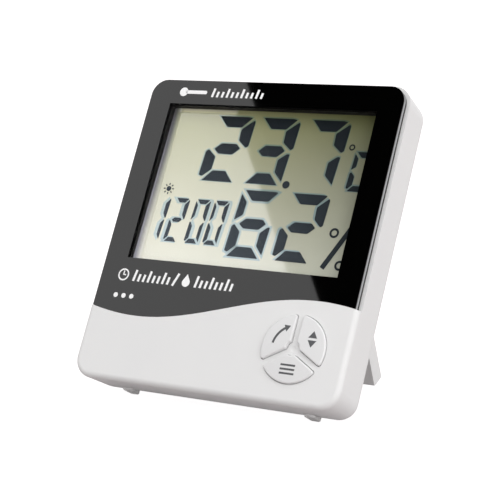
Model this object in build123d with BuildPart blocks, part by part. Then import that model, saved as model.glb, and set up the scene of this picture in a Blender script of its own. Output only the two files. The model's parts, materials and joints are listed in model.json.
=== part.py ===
from build123d import *
import math
import os

# Desk thermometer, hygrometer and clock, in millimetres, standing open on its stand.
# The row frame has +Z up, the window facing -Y, and its origin on the table under the middle.
# Inside the clock, places are given as x (to the viewer's right), depth behind the
# window's face and height above the underside, all measured along the leaning case.

# Case
case_width = 98.0
case_height = 108.0
case_depth = 20.0
corner_radius = 5.8
front_round = 1.8
side_draft = 3.4
back_round = 5.0
wall = 2.0
split_depth = 11.0
lip_height = 1.1
lip_thickness = 0.9
lip_gap = 0.1
overrun = 6.0

# Window, its black print and the foam tape that holds it
window_thickness = 1.8
window_inset = 0.1
window_gap = 0.1
print_thickness = 0.2
tape_thickness = 0.6
tape_inset = 0.25
tape_ring = 1.9
seat_wall = 1.0
step_wall = 1.6
view_side = 8.85
view_height = 57.4
view_top_margin = 9.0
view_corner = 0.6

# Wave where the window meets the plain lower face: a sine about a middle height
wave_middle = 27.4
wave_rise = 5.9
wave_node = 2.2
wave_half_length = 65.5
wave_spans = 12

# Frame that holds the display glass
collar_wall = 1.2
collar_gap = 0.2
collar_seat_gap = 0.05
frame_gap = 0.1
frame_lip = 0.4
frame_wall = 1.2
glass_gap = 0.3

# Display glass
glass_side_cover = 2.15
glass_top_cover = 2.3
glass_foot = 3.6
glass_thickness = 1.1
ledge_height = 3.0
polariser_thickness = 0.2
polariser_margin = 0.8
reflector_thickness = 0.2
strip_end = 4.3
strip_thickness = 2.2
strip_height = 3.4
strip_drop = 0.4

# Main board
board_side_gap = 1.5
board_thickness = 1.2
board_bottom = 5.0
board_tab_gap = 0.5
board_notch = 8.2

# Board screws and their posts in the front case
post_radius = 2.2
board_screw_radius = 0.95
board_screw_gap = 0.05
board_screw_length = 5.4
board_screw_head_radius = 1.9
board_screw_head_height = 1.4
screw_recess_radius = 0.8
screw_recess_depth = 0.7
post_frame_gap = 0.9
upper_row_side = 5.8
upper_row_inner = 14.5
lower_row_height = 11.0
lower_row_side = 19.0
lower_row_key_gap = 17.5

# Case screws
case_screw_side = 5.6
case_screw_height = 6.6
case_screw_radius = 1.25
case_screw_gap = 0.05
case_screw_way = 1.5
case_screw_length = 9.5
case_screw_head_radius = 2.2
case_screw_head_height = 1.6
head_gap = 0.25
rear_boss_radius = 3.0
front_boss_radius = 2.5
boss_floor = 3.0

# Top hooks
hook_side = 19.0
hook_width = 8.0
hook_thickness = 1.3
hook_gap = 0.2
hook_reach = 2.6
hook_bump = 0.6
hook_bump_length = 1.2

# Front keys: three sectors round a hub
key_side = 18.0
key_height = 16.9
key_ring_radius = 11.5
key_rib_width = 1.8
key_hub_radius = 2.2
key_gap = 0.2
key_corner = 0.9
key_crown = 1.35
key_edge_proud = 0.8
key_round = 0.5
key_flange = 0.7
key_flange_thickness = 1.0
key_rest_gap = 0.2
key_stem_radius = 2.0
key_stem_ring_radius = 6.6
key_sector_half_angle = 60.0
hub_dimple_radius = 1.1
hub_dimple_depth = 0.3

# Push switches under the keys
switch_size = 6.0
switch_height = 3.5
plunger_radius = 1.75
plunger_gap = 0.05
plunger_proud = 0.8
plunger_sunk = 1.2
plunger_room = 0.8

# Rear keys
rear_key_side = 9.0
unit_key_drop = 8.0
reset_key_drop = 19.0
rear_key_radius = 2.4
rear_key_gap = 0.25
rear_key_recess = 0.3
rear_key_flange = 1.1
rear_key_flange_thickness = 0.8
rear_key_rest_gap = 0.2
rear_key_stem_radius = 1.4

# Stand
stand_side = 16.0
stand_thickness = 5.8
stand_outer = 2.7
stand_pivot_height = 59.8
stand_reach = 55.7
stand_heel = 1.4
stand_open_angle = 50.0
stand_gap = 0.3
stand_rim = 5.0
stand_skin = 1.6
stand_rib = 1.2
stand_columns = 4
stand_rows = 3
pin_radius = 1.2
pin_length = 2.2
pin_gap = 0.05
pin_boss_radius = 2.6
pin_boss_length = 2.6
recess_wall = 1.4
finger_notch_radius = 7.0
finger_notch_depth = 2.2

# Feet and the rounding of every edge that meets the table
foot_side = 14.0
foot_width = 4.0
foot_length = 6.1
foot_back_inset = 1.6
foot_drop = 1.3
foot_root = 3.0
foot_end_round = 1.2
contact_radius = 0.6

# Battery bay, door and cell
cell_radius = 5.25
cell_length = 44.5
nub_radius = 1.9
nub_height = 1.0
cell_edge = 0.4
bay_rise = 3.0
bay_gap = 0.2
bay_floor = 0.6
bay_wall = 1.2
spring_room = 4.9
door_ledge = 3.3
door_lap = 1.35
door_thickness = 1.1
door_corner = 2.0
door_gap = 0.2
door_seat_gap = 0.1
door_tongue_x = 15.0
door_tongue_width = 8.0
door_tongue_thickness = 0.9
door_tongue_reach = 2.0
door_tongue_gap = 0.25
door_grip_width = 12.0
door_grip_height = 0.8
door_grip_pitch = 1.6
door_grip_proud = 0.35
door_grip_count = 4

# Battery contacts
contact_thickness = 0.4
terminal_radius = 4.9
contact_gap = 0.1
tab_width = 2.2
tab_reach = 2.2
tab_gap = 0.3
spring_wire = 0.7
spring_small_radius = 2.2
spring_turns = 4

# Hanging hole
keyhole_drop = 16.0
keyhole_radius = 4.0
keyhole_slot_radius = 2.1
keyhole_slot_rise = 6.0

# Sensor board, sensors and vents
sensor_drop = 18.0
sensor_board_width = 22.0
sensor_board_height = 15.0
sensor_board_thickness = 1.0
sensor_post_radius = 1.8
sensor_post_inset = 2.6
sensor_pin_radius = 0.7
sensor_pin_gap = 0.1
sensor_standoff = 4.6
humidity_width = 10.0
humidity_height = 8.0
humidity_thickness = 2.6
humidity_shift = 3.0
humidity_slot_width = 0.8
humidity_slot_length = 5.6
humidity_slot_depth = 0.8
humidity_slot_pitch = 1.8
humidity_slot_count = 4
bead_radius = 1.2
bead_shift = -5.5
bead_leg_radius = 0.25
bead_leg_spacing = 1.2
bead_leg_length = 3.0
vent_count = 6
vent_width = 1.4
vent_length = 13.0
vent_pitch = 3.2

# Sounder
buzzer_drop = 18.0
buzzer_radius = 10.0
buzzer_thickness = 0.5
ceramic_radius = 7.0
ceramic_thickness = 0.3
sound_hole_radius = 0.8
sound_hole_ring_radius = 3.4
sound_hole_count = 6

# Small parts on the main board
chip_x = -12.0
chip_drop = 15.0
chip_radius = 7.5
chip_rise = 1.4
crystal_x = 6.0
crystal_drop = 12.0
crystal_radius = 1.0
crystal_length = 6.0
passive_width = 1.6
passive_height = 0.8
passive_thickness = 0.6
passive_x = 16.0
passive_drop = 15.0
passive_pitch = 4.0
passive_columns = 4
passive_rows = 2

# Insulated leads
lead_radius = 0.5
lead_clearance = 0.9
lead_bend = 0.8
lead_landing = 3.0
lead_bay_gap = 4.6
lead_edge = 4.0
sensor_lead_pitch = 3.0
sensor_lead_drop = 5.6
buzzer_lead_pitch = 4.0
buzzer_lead_drop = 4.0


# Lean of the case, from the two places that touch the table

def swing(along, across):
    """Depth and height of a point on the open stand: along it from the pivot, and across outwards."""
    turn = math.radians(stand_open_angle)
    depth = stand_pivot_depth + along * math.sin(turn) + across * math.cos(turn)
    height = stand_pivot_height - along * math.cos(turn) + across * math.sin(turn)
    return depth, height


stand_pivot_depth = case_depth - stand_outer
stand_inner = stand_thickness - stand_outer
foot_back = case_depth - foot_back_inset
foot_front = foot_back - foot_length
tip_depth, tip_height = swing(stand_reach - contact_radius, contact_radius - stand_inner)
foot_depth = foot_back - contact_radius
foot_height = contact_radius - foot_drop
lean = math.atan2(tip_height - foot_height, tip_depth - foot_depth)
lean_sin = math.sin(lean)
lean_cos = math.cos(lean)

# Origin of the leaning case, so that the part stands on the table centred in plan
table_drop = contact_radius - (foot_height * lean_cos - foot_depth * lean_sin)
draft = math.radians(side_draft)
front_flare = case_depth * math.tan(draft)
split_flare = (case_depth - split_depth) * math.tan(draft)
foot_of_round = front_round * (math.tan(draft) + 1 / math.cos(draft)) - front_flare
front_reach = front_round * lean_cos + foot_of_round * lean_sin - front_round
back_reach = (
    (case_depth - back_round) * lean_cos + (case_height - back_round) * lean_sin + back_round
)
case_origin = Vector(0, -(front_reach + back_reach) / 2, table_drop)
right = Vector(1, 0, 0)
back = Vector(0, lean_cos, -lean_sin)
up = Vector(0, lean_sin, lean_cos)
face_plane = Plane(origin=case_origin, x_dir=right, z_dir=-back)
side_plane = Plane(origin=case_origin, x_dir=back, z_dir=right)
base_plane = Plane(origin=case_origin, x_dir=right, z_dir=up)
outward = Axis(case_origin, -back)
upward = Axis(case_origin, up)

# Depths that follow from the stack of pieces behind the window
print_depth = window_thickness + print_thickness
seat_depth = print_depth + tape_thickness
seat_back = seat_depth + seat_wall
frame_front = seat_back + frame_gap
glass_front = frame_front + frame_lip
front_glass_front = glass_front + polariser_thickness
rear_glass_front = front_glass_front + glass_thickness
reflector_front = rear_glass_front + glass_thickness
board_front = rear_glass_front + strip_height
board_back = board_front + board_thickness
rear_wall_inside = case_depth - wall
lead_depth = board_back + lead_clearance

# Heights and widths of the display stack
view_width = case_width - 2 * view_side
view_top = case_height - view_top_margin
view_bottom = view_top - view_height
view_centre = view_top - view_height / 2
glass_width = view_width + 2 * glass_side_cover
glass_bottom = view_bottom - glass_foot
glass_top = view_top + glass_top_cover
glass_height = glass_top - glass_bottom
glass_centre = (glass_top + glass_bottom) / 2
frame_bottom = glass_bottom - glass_gap - frame_wall

# Recess of the stand, and the battery bay above it
stand_width = case_width - 2 * stand_side
recess_half_width = stand_width / 2 + stand_gap
recess_floor = case_depth - stand_thickness - stand_gap
recess_bottom = stand_pivot_height - stand_reach - stand_gap
heel_radius = math.hypot(stand_heel, stand_outer)
heel_angle = math.atan2(stand_heel, stand_outer) + math.radians(stand_open_angle)
recess_top = stand_pivot_height + heel_radius * math.sin(heel_angle) + stand_gap / 2
bay_half_height = cell_radius + bay_gap
bay_centre = recess_top + bay_rise + bay_half_height
bay_length = cell_length + spring_room + 2 * (contact_thickness + contact_gap)
door_width = bay_length + 2 * door_ledge
door_height = 2 * (bay_half_height + door_lap)
door_seat = case_depth - door_thickness - door_seat_gap
cell_depth = door_seat - bay_gap - cell_radius + contact_gap
bay_front = cell_depth - bay_half_height - bay_floor
tab_end = bay_centre - bay_half_height - bay_wall - tab_reach

# Places that follow from the case and the bay
board_top = tab_end - board_tab_gap
board_width = case_width - 2 * (wall + board_side_gap)
key_x = case_width / 2 - key_side
upper_row_outer = case_width / 2 - upper_row_side
upper_row_height = frame_bottom - post_frame_gap - post_radius
lower_row_left = lower_row_side - case_width / 2
lower_row_right = key_x - key_ring_radius - lower_row_key_gap
case_screw_x = case_width / 2 - case_screw_side
hook_x = case_width / 2 - hook_side
rear_key_x = case_width / 2 - rear_key_side
foot_spacing = case_width - 2 * foot_side
keyhole_height = case_height - keyhole_drop
sensor_height = case_height - sensor_drop
buzzer_height = case_height - buzzer_drop
lead_x = bay_length / 2 + bay_wall + lead_bay_gap
sensor_x = lead_edge - lead_x
buzzer_x = lead_x - lead_edge
lead_landing_height = board_top - lead_landing


def place(x, depth, height):
    """Point of the row frame for a place in the leaning case."""
    return case_origin + right * x + back * depth + up * height


def at_depth(depth):
    """Plane facing the viewer at a depth: local x is right and local y is up the case."""
    return face_plane.offset(-depth)


def at_side(x):
    """Plane facing right at x: local x is depth and local y is height."""
    return side_plane.offset(x)


def at_height(height):
    """Plane facing up the case at a height: local x is right and local y is depth."""
    return base_plane.offset(height)


def case_outline(inset=0.0, mode=Mode.ADD):
    """Rounded outline of the case, drawn in by inset all round."""
    with Locations((0, case_height / 2)):
        RectangleRounded(
            case_width - 2 * inset,
            case_height - 2 * inset,
            corner_radius - inset,
            mode=mode,
        )


def wave_height(x):
    """Height of the wave at x."""
    return wave_middle + wave_rise * math.sin(math.pi * (x - wave_node) / wave_half_length)


def above_wave(lift=0.0, mode=Mode.ADD):
    """Everything above the wave raised by lift, as a face wider than the case."""
    reach = case_width / 2 + front_flare + overrun
    top = case_height + front_flare + overrun
    across = [reach * (2 * i / wave_spans - 1) for i in range(wave_spans + 1)]
    with BuildLine() as edge:
        wave = Spline(*[(x, wave_height(x) + lift) for x in across])
        Polyline(wave @ 1, (reach, top), (-reach, top), wave @ 0)
    make_face(edge.edges(), mode=mode)


def view_opening(grow=0.0, mode=Mode.ADD):
    """Rectangle of the display opening, larger by grow all round."""
    with Locations((0, view_centre)):
        RectangleRounded(
            view_width + 2 * grow, view_height + 2 * grow, view_corner + grow, mode=mode
        )


def key_sector(angle, clearance):
    """One of the three sectors round the hub, smaller by clearance all round."""
    middle = math.radians(angle)
    half = math.radians(key_sector_half_angle)
    apex = (key_rib_width / 2 + clearance) / math.sin(half)
    far = 2 * key_ring_radius
    tip = (key_x + apex * math.cos(middle), key_height + apex * math.sin(middle))
    first = (tip[0] + far * math.cos(middle - half), tip[1] + far * math.sin(middle - half))
    second = (tip[0] + far * math.cos(middle + half), tip[1] + far * math.sin(middle + half))
    with Locations((key_x, key_height)):
        Circle(key_ring_radius - clearance)
    with BuildLine() as wedge:
        Polyline(tip, first, second, close=True)
    make_face(wedge.edges(), mode=Mode.INTERSECT)
    with Locations((key_x, key_height)):
        Circle(key_hub_radius + clearance, mode=Mode.SUBTRACT)


key_angles = {"mode": 150.0, "adjust": 30.0, "memory": 270.0}
key_places = {
    name: (
        key_x + key_stem_ring_radius * math.cos(math.radians(angle)),
        key_height + key_stem_ring_radius * math.sin(math.radians(angle)),
    )
    for name, angle in key_angles.items()
}
rear_key_places = {
    "unit": (rear_key_x, board_top - unit_key_drop),
    "reset": (rear_key_x, board_top - reset_key_drop),
}
board_screw_places = [
    (-upper_row_outer, upper_row_height),
    (-upper_row_inner, upper_row_height),
    (upper_row_inner, upper_row_height),
    (upper_row_outer, upper_row_height),
    (lower_row_left, lower_row_height),
    (lower_row_right, lower_row_height),
]
case_screw_places = [(-case_screw_x, case_screw_height), (case_screw_x, case_screw_height)]
pieces = {}


# Front shell

screw_pilot_radius = board_screw_radius + board_screw_gap
case_pilot_radius = case_screw_radius + case_screw_gap
with BuildPart() as front_case:
    with BuildSketch(at_depth(split_depth)):
        case_outline(-split_flare)
    extrude(amount=split_depth, taper=-side_draft)
    fillet(front_case.faces().sort_by(outward)[-1].edges(), front_round)
    # Seat of the window, open at the top and both sides
    with BuildSketch(at_depth(seat_depth)):
        above_wave()
    extrude(amount=seat_depth + overrun, mode=Mode.SUBTRACT)
    # Hollow behind the window seat, and the deeper one behind the plain face
    with BuildSketch(at_depth(split_depth)):
        case_outline(wall)
    extrude(amount=split_depth - seat_back, mode=Mode.SUBTRACT)
    with BuildSketch(at_depth(seat_back)):
        case_outline(wall)
        above_wave(-step_wall, Mode.SUBTRACT)
    extrude(amount=seat_back - wall, mode=Mode.SUBTRACT)
    # Rebate for the rear shell's lip
    with BuildSketch(at_depth(split_depth)):
        case_outline(wall - lip_thickness - lip_gap)
    extrude(amount=lip_height + lip_gap, mode=Mode.SUBTRACT)
    # Opening for the display frame's collar
    with BuildSketch(at_depth(seat_back)):
        view_opening(collar_wall + collar_gap)
    extrude(amount=seat_wall + overrun, mode=Mode.SUBTRACT)
    # Posts for the board screws, from inside each wall
    with BuildSketch(at_depth(board_front)):
        with Locations(*board_screw_places[:4]):
            Circle(post_radius)
    extrude(amount=board_front - (seat_depth + seat_wall / 2))
    with BuildSketch(at_depth(board_front)):
        with Locations(*board_screw_places[4:]):
            Circle(post_radius)
    extrude(amount=board_front - wall / 2)
    with BuildSketch(at_depth(board_front)):
        with Locations(*board_screw_places):
            Circle(screw_pilot_radius)
    extrude(amount=board_front - seat_back, mode=Mode.SUBTRACT)
    # Bosses for the case screws
    with BuildSketch(at_depth(split_depth)):
        with Locations(*case_screw_places):
            Circle(front_boss_radius)
    extrude(amount=split_depth - wall / 2)
    with BuildSketch(at_depth(split_depth)):
        with Locations(*case_screw_places):
            Circle(case_pilot_radius)
    extrude(amount=split_depth - boss_floor, mode=Mode.SUBTRACT)
    # Pockets for the rear shell's top hooks
    with BuildSketch(at_height(case_height - wall)):
        with Locations(
            *[
                (x, split_depth - lip_height - hook_reach + hook_bump_length / 2)
                for x in (-hook_x, hook_x)
            ]
        ):
            Rectangle(hook_width + 2 * hook_gap, hook_bump_length + 2 * hook_gap)
    extrude(amount=hook_bump, mode=Mode.SUBTRACT)
    # Three holes for the keys, which leave the ribs and the hub
    for key_angle in key_angles.values():
        with BuildSketch(at_depth(wall)) as hole:
            key_sector(key_angle, 0.0)
            fillet(hole.vertices(), key_corner)
        extrude(amount=wall + overrun, mode=Mode.SUBTRACT)
    # Small dimple in the hub
    dimple_ball = (hub_dimple_radius**2 + hub_dimple_depth**2) / (2 * hub_dimple_depth)
    with Locations(
        Location(place(key_x, hub_dimple_depth - dimple_ball, key_height))
    ):
        Sphere(dimple_ball, mode=Mode.SUBTRACT)
pieces["front_case"] = front_case.part


# Window, print and tape

with BuildPart() as display_window:
    with BuildSketch(at_depth(window_thickness)):
        case_outline(window_inset)
        above_wave(window_gap, Mode.INTERSECT)
    extrude(amount=window_thickness)
pieces["display_window"] = display_window.part

with BuildPart() as window_print:
    with BuildSketch(at_depth(print_depth)):
        case_outline(window_inset)
        above_wave(window_gap, Mode.INTERSECT)
        view_opening(mode=Mode.SUBTRACT)
    extrude(amount=print_thickness)
pieces["window_print"] = window_print.part

with BuildPart() as window_tape:
    with BuildSketch(at_depth(seat_depth)):
        case_outline(tape_inset)
        above_wave(tape_inset, Mode.INTERSECT)
        view_opening(tape_ring, mode=Mode.SUBTRACT)
    extrude(amount=tape_thickness)
pieces["window_tape"] = window_tape.part


# Frame round the display glass

frame_outer_width = glass_width + 2 * (glass_gap + frame_wall)
frame_outer_height = glass_height + 2 * (glass_gap + frame_wall)
with BuildPart() as lcd_frame:
    with BuildSketch(at_depth(board_front)):
        with Locations((0, glass_centre)):
            Rectangle(frame_outer_width, frame_outer_height)
    extrude(amount=board_front - frame_front)
    with BuildSketch(at_depth(board_front)):
        with Locations((0, glass_centre)):
            Rectangle(glass_width + 2 * glass_gap, glass_height + 2 * glass_gap)
    extrude(amount=board_front - glass_front, mode=Mode.SUBTRACT)
    with BuildSketch(at_depth(glass_front)):
        view_opening(collar_wall)
    extrude(amount=glass_front - print_depth - collar_seat_gap)
    with BuildSketch(at_depth(glass_front)):
        view_opening()
    extrude(amount=glass_front, mode=Mode.SUBTRACT)
pieces["lcd_frame"] = lcd_frame.part


# Display glass: polariser, two plates, reflector and the two rubber connectors' ledge

polariser_bottom = glass_bottom + polariser_margin
polariser_top = glass_top - polariser_margin
rear_glass_bottom = glass_bottom + ledge_height


def sheet(bottom, top, width, front, thickness):
    """Flat sheet of a width between two heights, from a front depth backwards."""
    with BuildSketch(at_depth(front + thickness)) as outline:
        with Locations((0, (bottom + top) / 2)):
            Rectangle(width, top - bottom)
    extrude(outline.sketch, amount=thickness)


with BuildPart() as front_polariser:
    sheet(
        polariser_bottom,
        polariser_top,
        glass_width - 2 * polariser_margin,
        glass_front,
        polariser_thickness,
    )
pieces["front_polariser"] = front_polariser.part

with BuildPart() as lcd_front_glass:
    sheet(glass_bottom, glass_top, glass_width, front_glass_front, glass_thickness)
pieces["lcd_front_glass"] = lcd_front_glass.part

with BuildPart() as lcd_rear_glass:
    sheet(rear_glass_bottom, glass_top, glass_width, rear_glass_front, glass_thickness)
pieces["lcd_rear_glass"] = lcd_rear_glass.part

with BuildPart() as lcd_reflector:
    sheet(
        rear_glass_bottom + polariser_margin,
        polariser_top,
        glass_width - 2 * polariser_margin,
        reflector_front,
        reflector_thickness,
    )
pieces["lcd_reflector"] = lcd_reflector.part

with BuildPart() as elastomer_strip:
    sheet(
        glass_bottom + strip_drop,
        glass_bottom + strip_drop + strip_thickness,
        glass_width - 2 * strip_end,
        rear_glass_front,
        strip_height,
    )
pieces["elastomer_strip"] = elastomer_strip.part


# Main board

board_centre = (board_bottom + board_top) / 2
with BuildPart() as circuit_board:
    with BuildSketch(at_depth(board_back)):
        with Locations((0, board_centre)):
            Rectangle(board_width, board_top - board_bottom)
        with Locations(
            (-board_width / 2, board_bottom),
            (board_width / 2, board_bottom),
        ):
            Rectangle(2 * board_notch, 2 * board_notch - board_bottom, mode=Mode.SUBTRACT)
        with Locations(*board_screw_places):
            Circle(screw_pilot_radius + board_screw_gap, mode=Mode.SUBTRACT)
    extrude(amount=board_thickness)
pieces["circuit_board"] = circuit_board.part

# Potting over the chip, a shallow dome
chip_ball = (chip_radius**2 + chip_rise**2) / (2 * chip_rise)
chip_height = board_top - chip_drop
chip_plane = Plane(origin=place(chip_x, board_back, chip_height), x_dir=right, z_dir=up)
with BuildPart() as chip_cap:
    with BuildSketch(chip_plane):
        with BuildLine():
            RadiusArc((chip_radius, 0), (0, chip_rise), -chip_ball)
            Polyline((0, chip_rise), (0, 0), (chip_radius, 0))
        make_face()
    revolve(axis=Axis(chip_plane.origin, back))
pieces["chip_cap"] = chip_cap.part

with BuildPart() as crystal:
    with BuildSketch(at_side(crystal_x)):
        with Locations((board_back + crystal_radius, board_top - crystal_drop)):
            Circle(crystal_radius)
    extrude(amount=crystal_length / 2, both=True)
    fillet(crystal.edges().filter_by(GeomType.CIRCLE), crystal_radius / 4)
pieces["crystal"] = crystal.part

with BuildPart() as board_components:
    with BuildSketch(at_depth(board_back)):
        with Locations((passive_x, board_top - passive_drop)):
            with GridLocations(passive_pitch, passive_pitch, passive_columns, passive_rows):
                Rectangle(passive_width, passive_height)
    extrude(amount=-passive_thickness)
pieces["board_components"] = board_components.part


# Front keys with their push switches

flange_front = wall + key_rest_gap
flange_back = flange_front + key_flange_thickness
plunger_front = board_front - switch_height - plunger_proud
dome_drop = key_crown - key_edge_proud
dome_radius = ((key_ring_radius - key_gap) ** 2 + dome_drop**2) / (2 * dome_drop)
key_plane = Plane(origin=place(key_x, 0, key_height), x_dir=up, z_dir=right)
for key_name, key_angle in key_angles.items():
    with BuildPart() as key:
        with BuildSketch(at_depth(flange_front)) as cap:
            key_sector(key_angle, key_gap)
            fillet(cap.vertices(), key_corner - key_gap / 2)
        extrude(amount=flange_front + 2 * key_crown)
        # Shared shallow dome over the three keys
        with BuildSketch(key_plane):
            with BuildLine():
                reach = key_ring_radius - key_gap
                RadiusArc((reach, key_edge_proud), (0, key_crown), -dome_radius)
                Polyline(
                    (0, key_crown),
                    (0, -2 * flange_front),
                    (reach, -2 * flange_front),
                    (reach, key_edge_proud),
                )
            make_face()
        revolve(axis=Axis(key_plane.origin, -back), mode=Mode.INTERSECT)
        fillet(key.faces().sort_by(outward)[-1].edges(), key_round)
        # Flange that stops the key, and the stem on the switch
        with BuildSketch(at_depth(flange_back)) as flange:
            key_sector(key_angle, key_gap - key_flange)
        extrude(amount=key_flange_thickness)
        with BuildSketch(at_depth(plunger_front)):
            with Locations(key_places[key_name]):
                Circle(key_stem_radius)
        extrude(amount=plunger_front - flange_back)
    pieces[key_name + "_key"] = key.part


def switch_body(spot, front, direction):
    """Square housing on the board with a blind bore for its plunger, 1 toward the viewer."""
    with BuildSketch(at_depth(front)) as foot:
        with Locations(spot):
            Rectangle(switch_size, switch_size)
    extrude(foot.sketch, amount=direction * switch_height)
    with BuildSketch(at_depth(front - direction * switch_height)) as bore:
        with Locations(spot):
            Circle(plunger_radius + plunger_gap)
    extrude(
        bore.sketch,
        amount=-direction * (plunger_sunk + plunger_room),
        mode=Mode.SUBTRACT,
    )


def switch_plunger(spot, front, direction):
    """Round plunger that stands out of the housing."""
    with BuildSketch(at_depth(front - direction * (switch_height - plunger_sunk))) as end:
        with Locations(spot):
            Circle(plunger_radius)
    extrude(end.sketch, amount=direction * (plunger_sunk + plunger_proud))


for key_name, spot in key_places.items():
    with BuildPart() as housing:
        switch_body(spot, board_front, 1)
    pieces[key_name + "_switch"] = housing.part
    with BuildPart() as plunger:
        switch_plunger(spot, board_front, 1)
    pieces[key_name + "_plunger"] = plunger.part

# Rear keys with their switches on the back of the board
rear_flange_back = rear_wall_inside - rear_key_rest_gap
rear_flange_front = rear_flange_back - rear_key_flange_thickness
rear_plunger_back = board_back + switch_height + plunger_proud
for key_name, spot in rear_key_places.items():
    with BuildPart() as housing:
        switch_body(spot, board_back, -1)
    pieces[key_name + "_switch"] = housing.part
    with BuildPart() as plunger:
        switch_plunger(spot, board_back, -1)
    pieces[key_name + "_plunger"] = plunger.part
    with BuildPart() as key:
        with BuildSketch(at_depth(case_depth - rear_key_recess)):
            with Locations(spot):
                Circle(rear_key_radius)
        extrude(amount=case_depth - rear_key_recess - rear_flange_front)
        chamfer(key.faces().sort_by(outward)[0].edges(), rear_key_recess)
        with BuildSketch(at_depth(rear_flange_back)):
            with Locations(spot):
                Circle(rear_key_radius + rear_key_flange)
        extrude(amount=rear_key_flange_thickness)
        with BuildSketch(at_depth(rear_flange_front)):
            with Locations(spot):
                Circle(rear_key_stem_radius)
        extrude(amount=rear_flange_front - rear_plunger_back)
    pieces[key_name + "_key"] = key.part


# Rear shell

head_seat = split_depth + case_screw_length - (split_depth - boss_floor) + case_screw_gap
with BuildPart() as rear_hollow:
    with BuildSketch(at_depth(case_depth - wall)):
        case_outline(wall)
    extrude(amount=case_depth - wall - split_depth)
    fillet(rear_hollow.faces().sort_by(outward)[0].edges(), back_round - wall)

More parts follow.
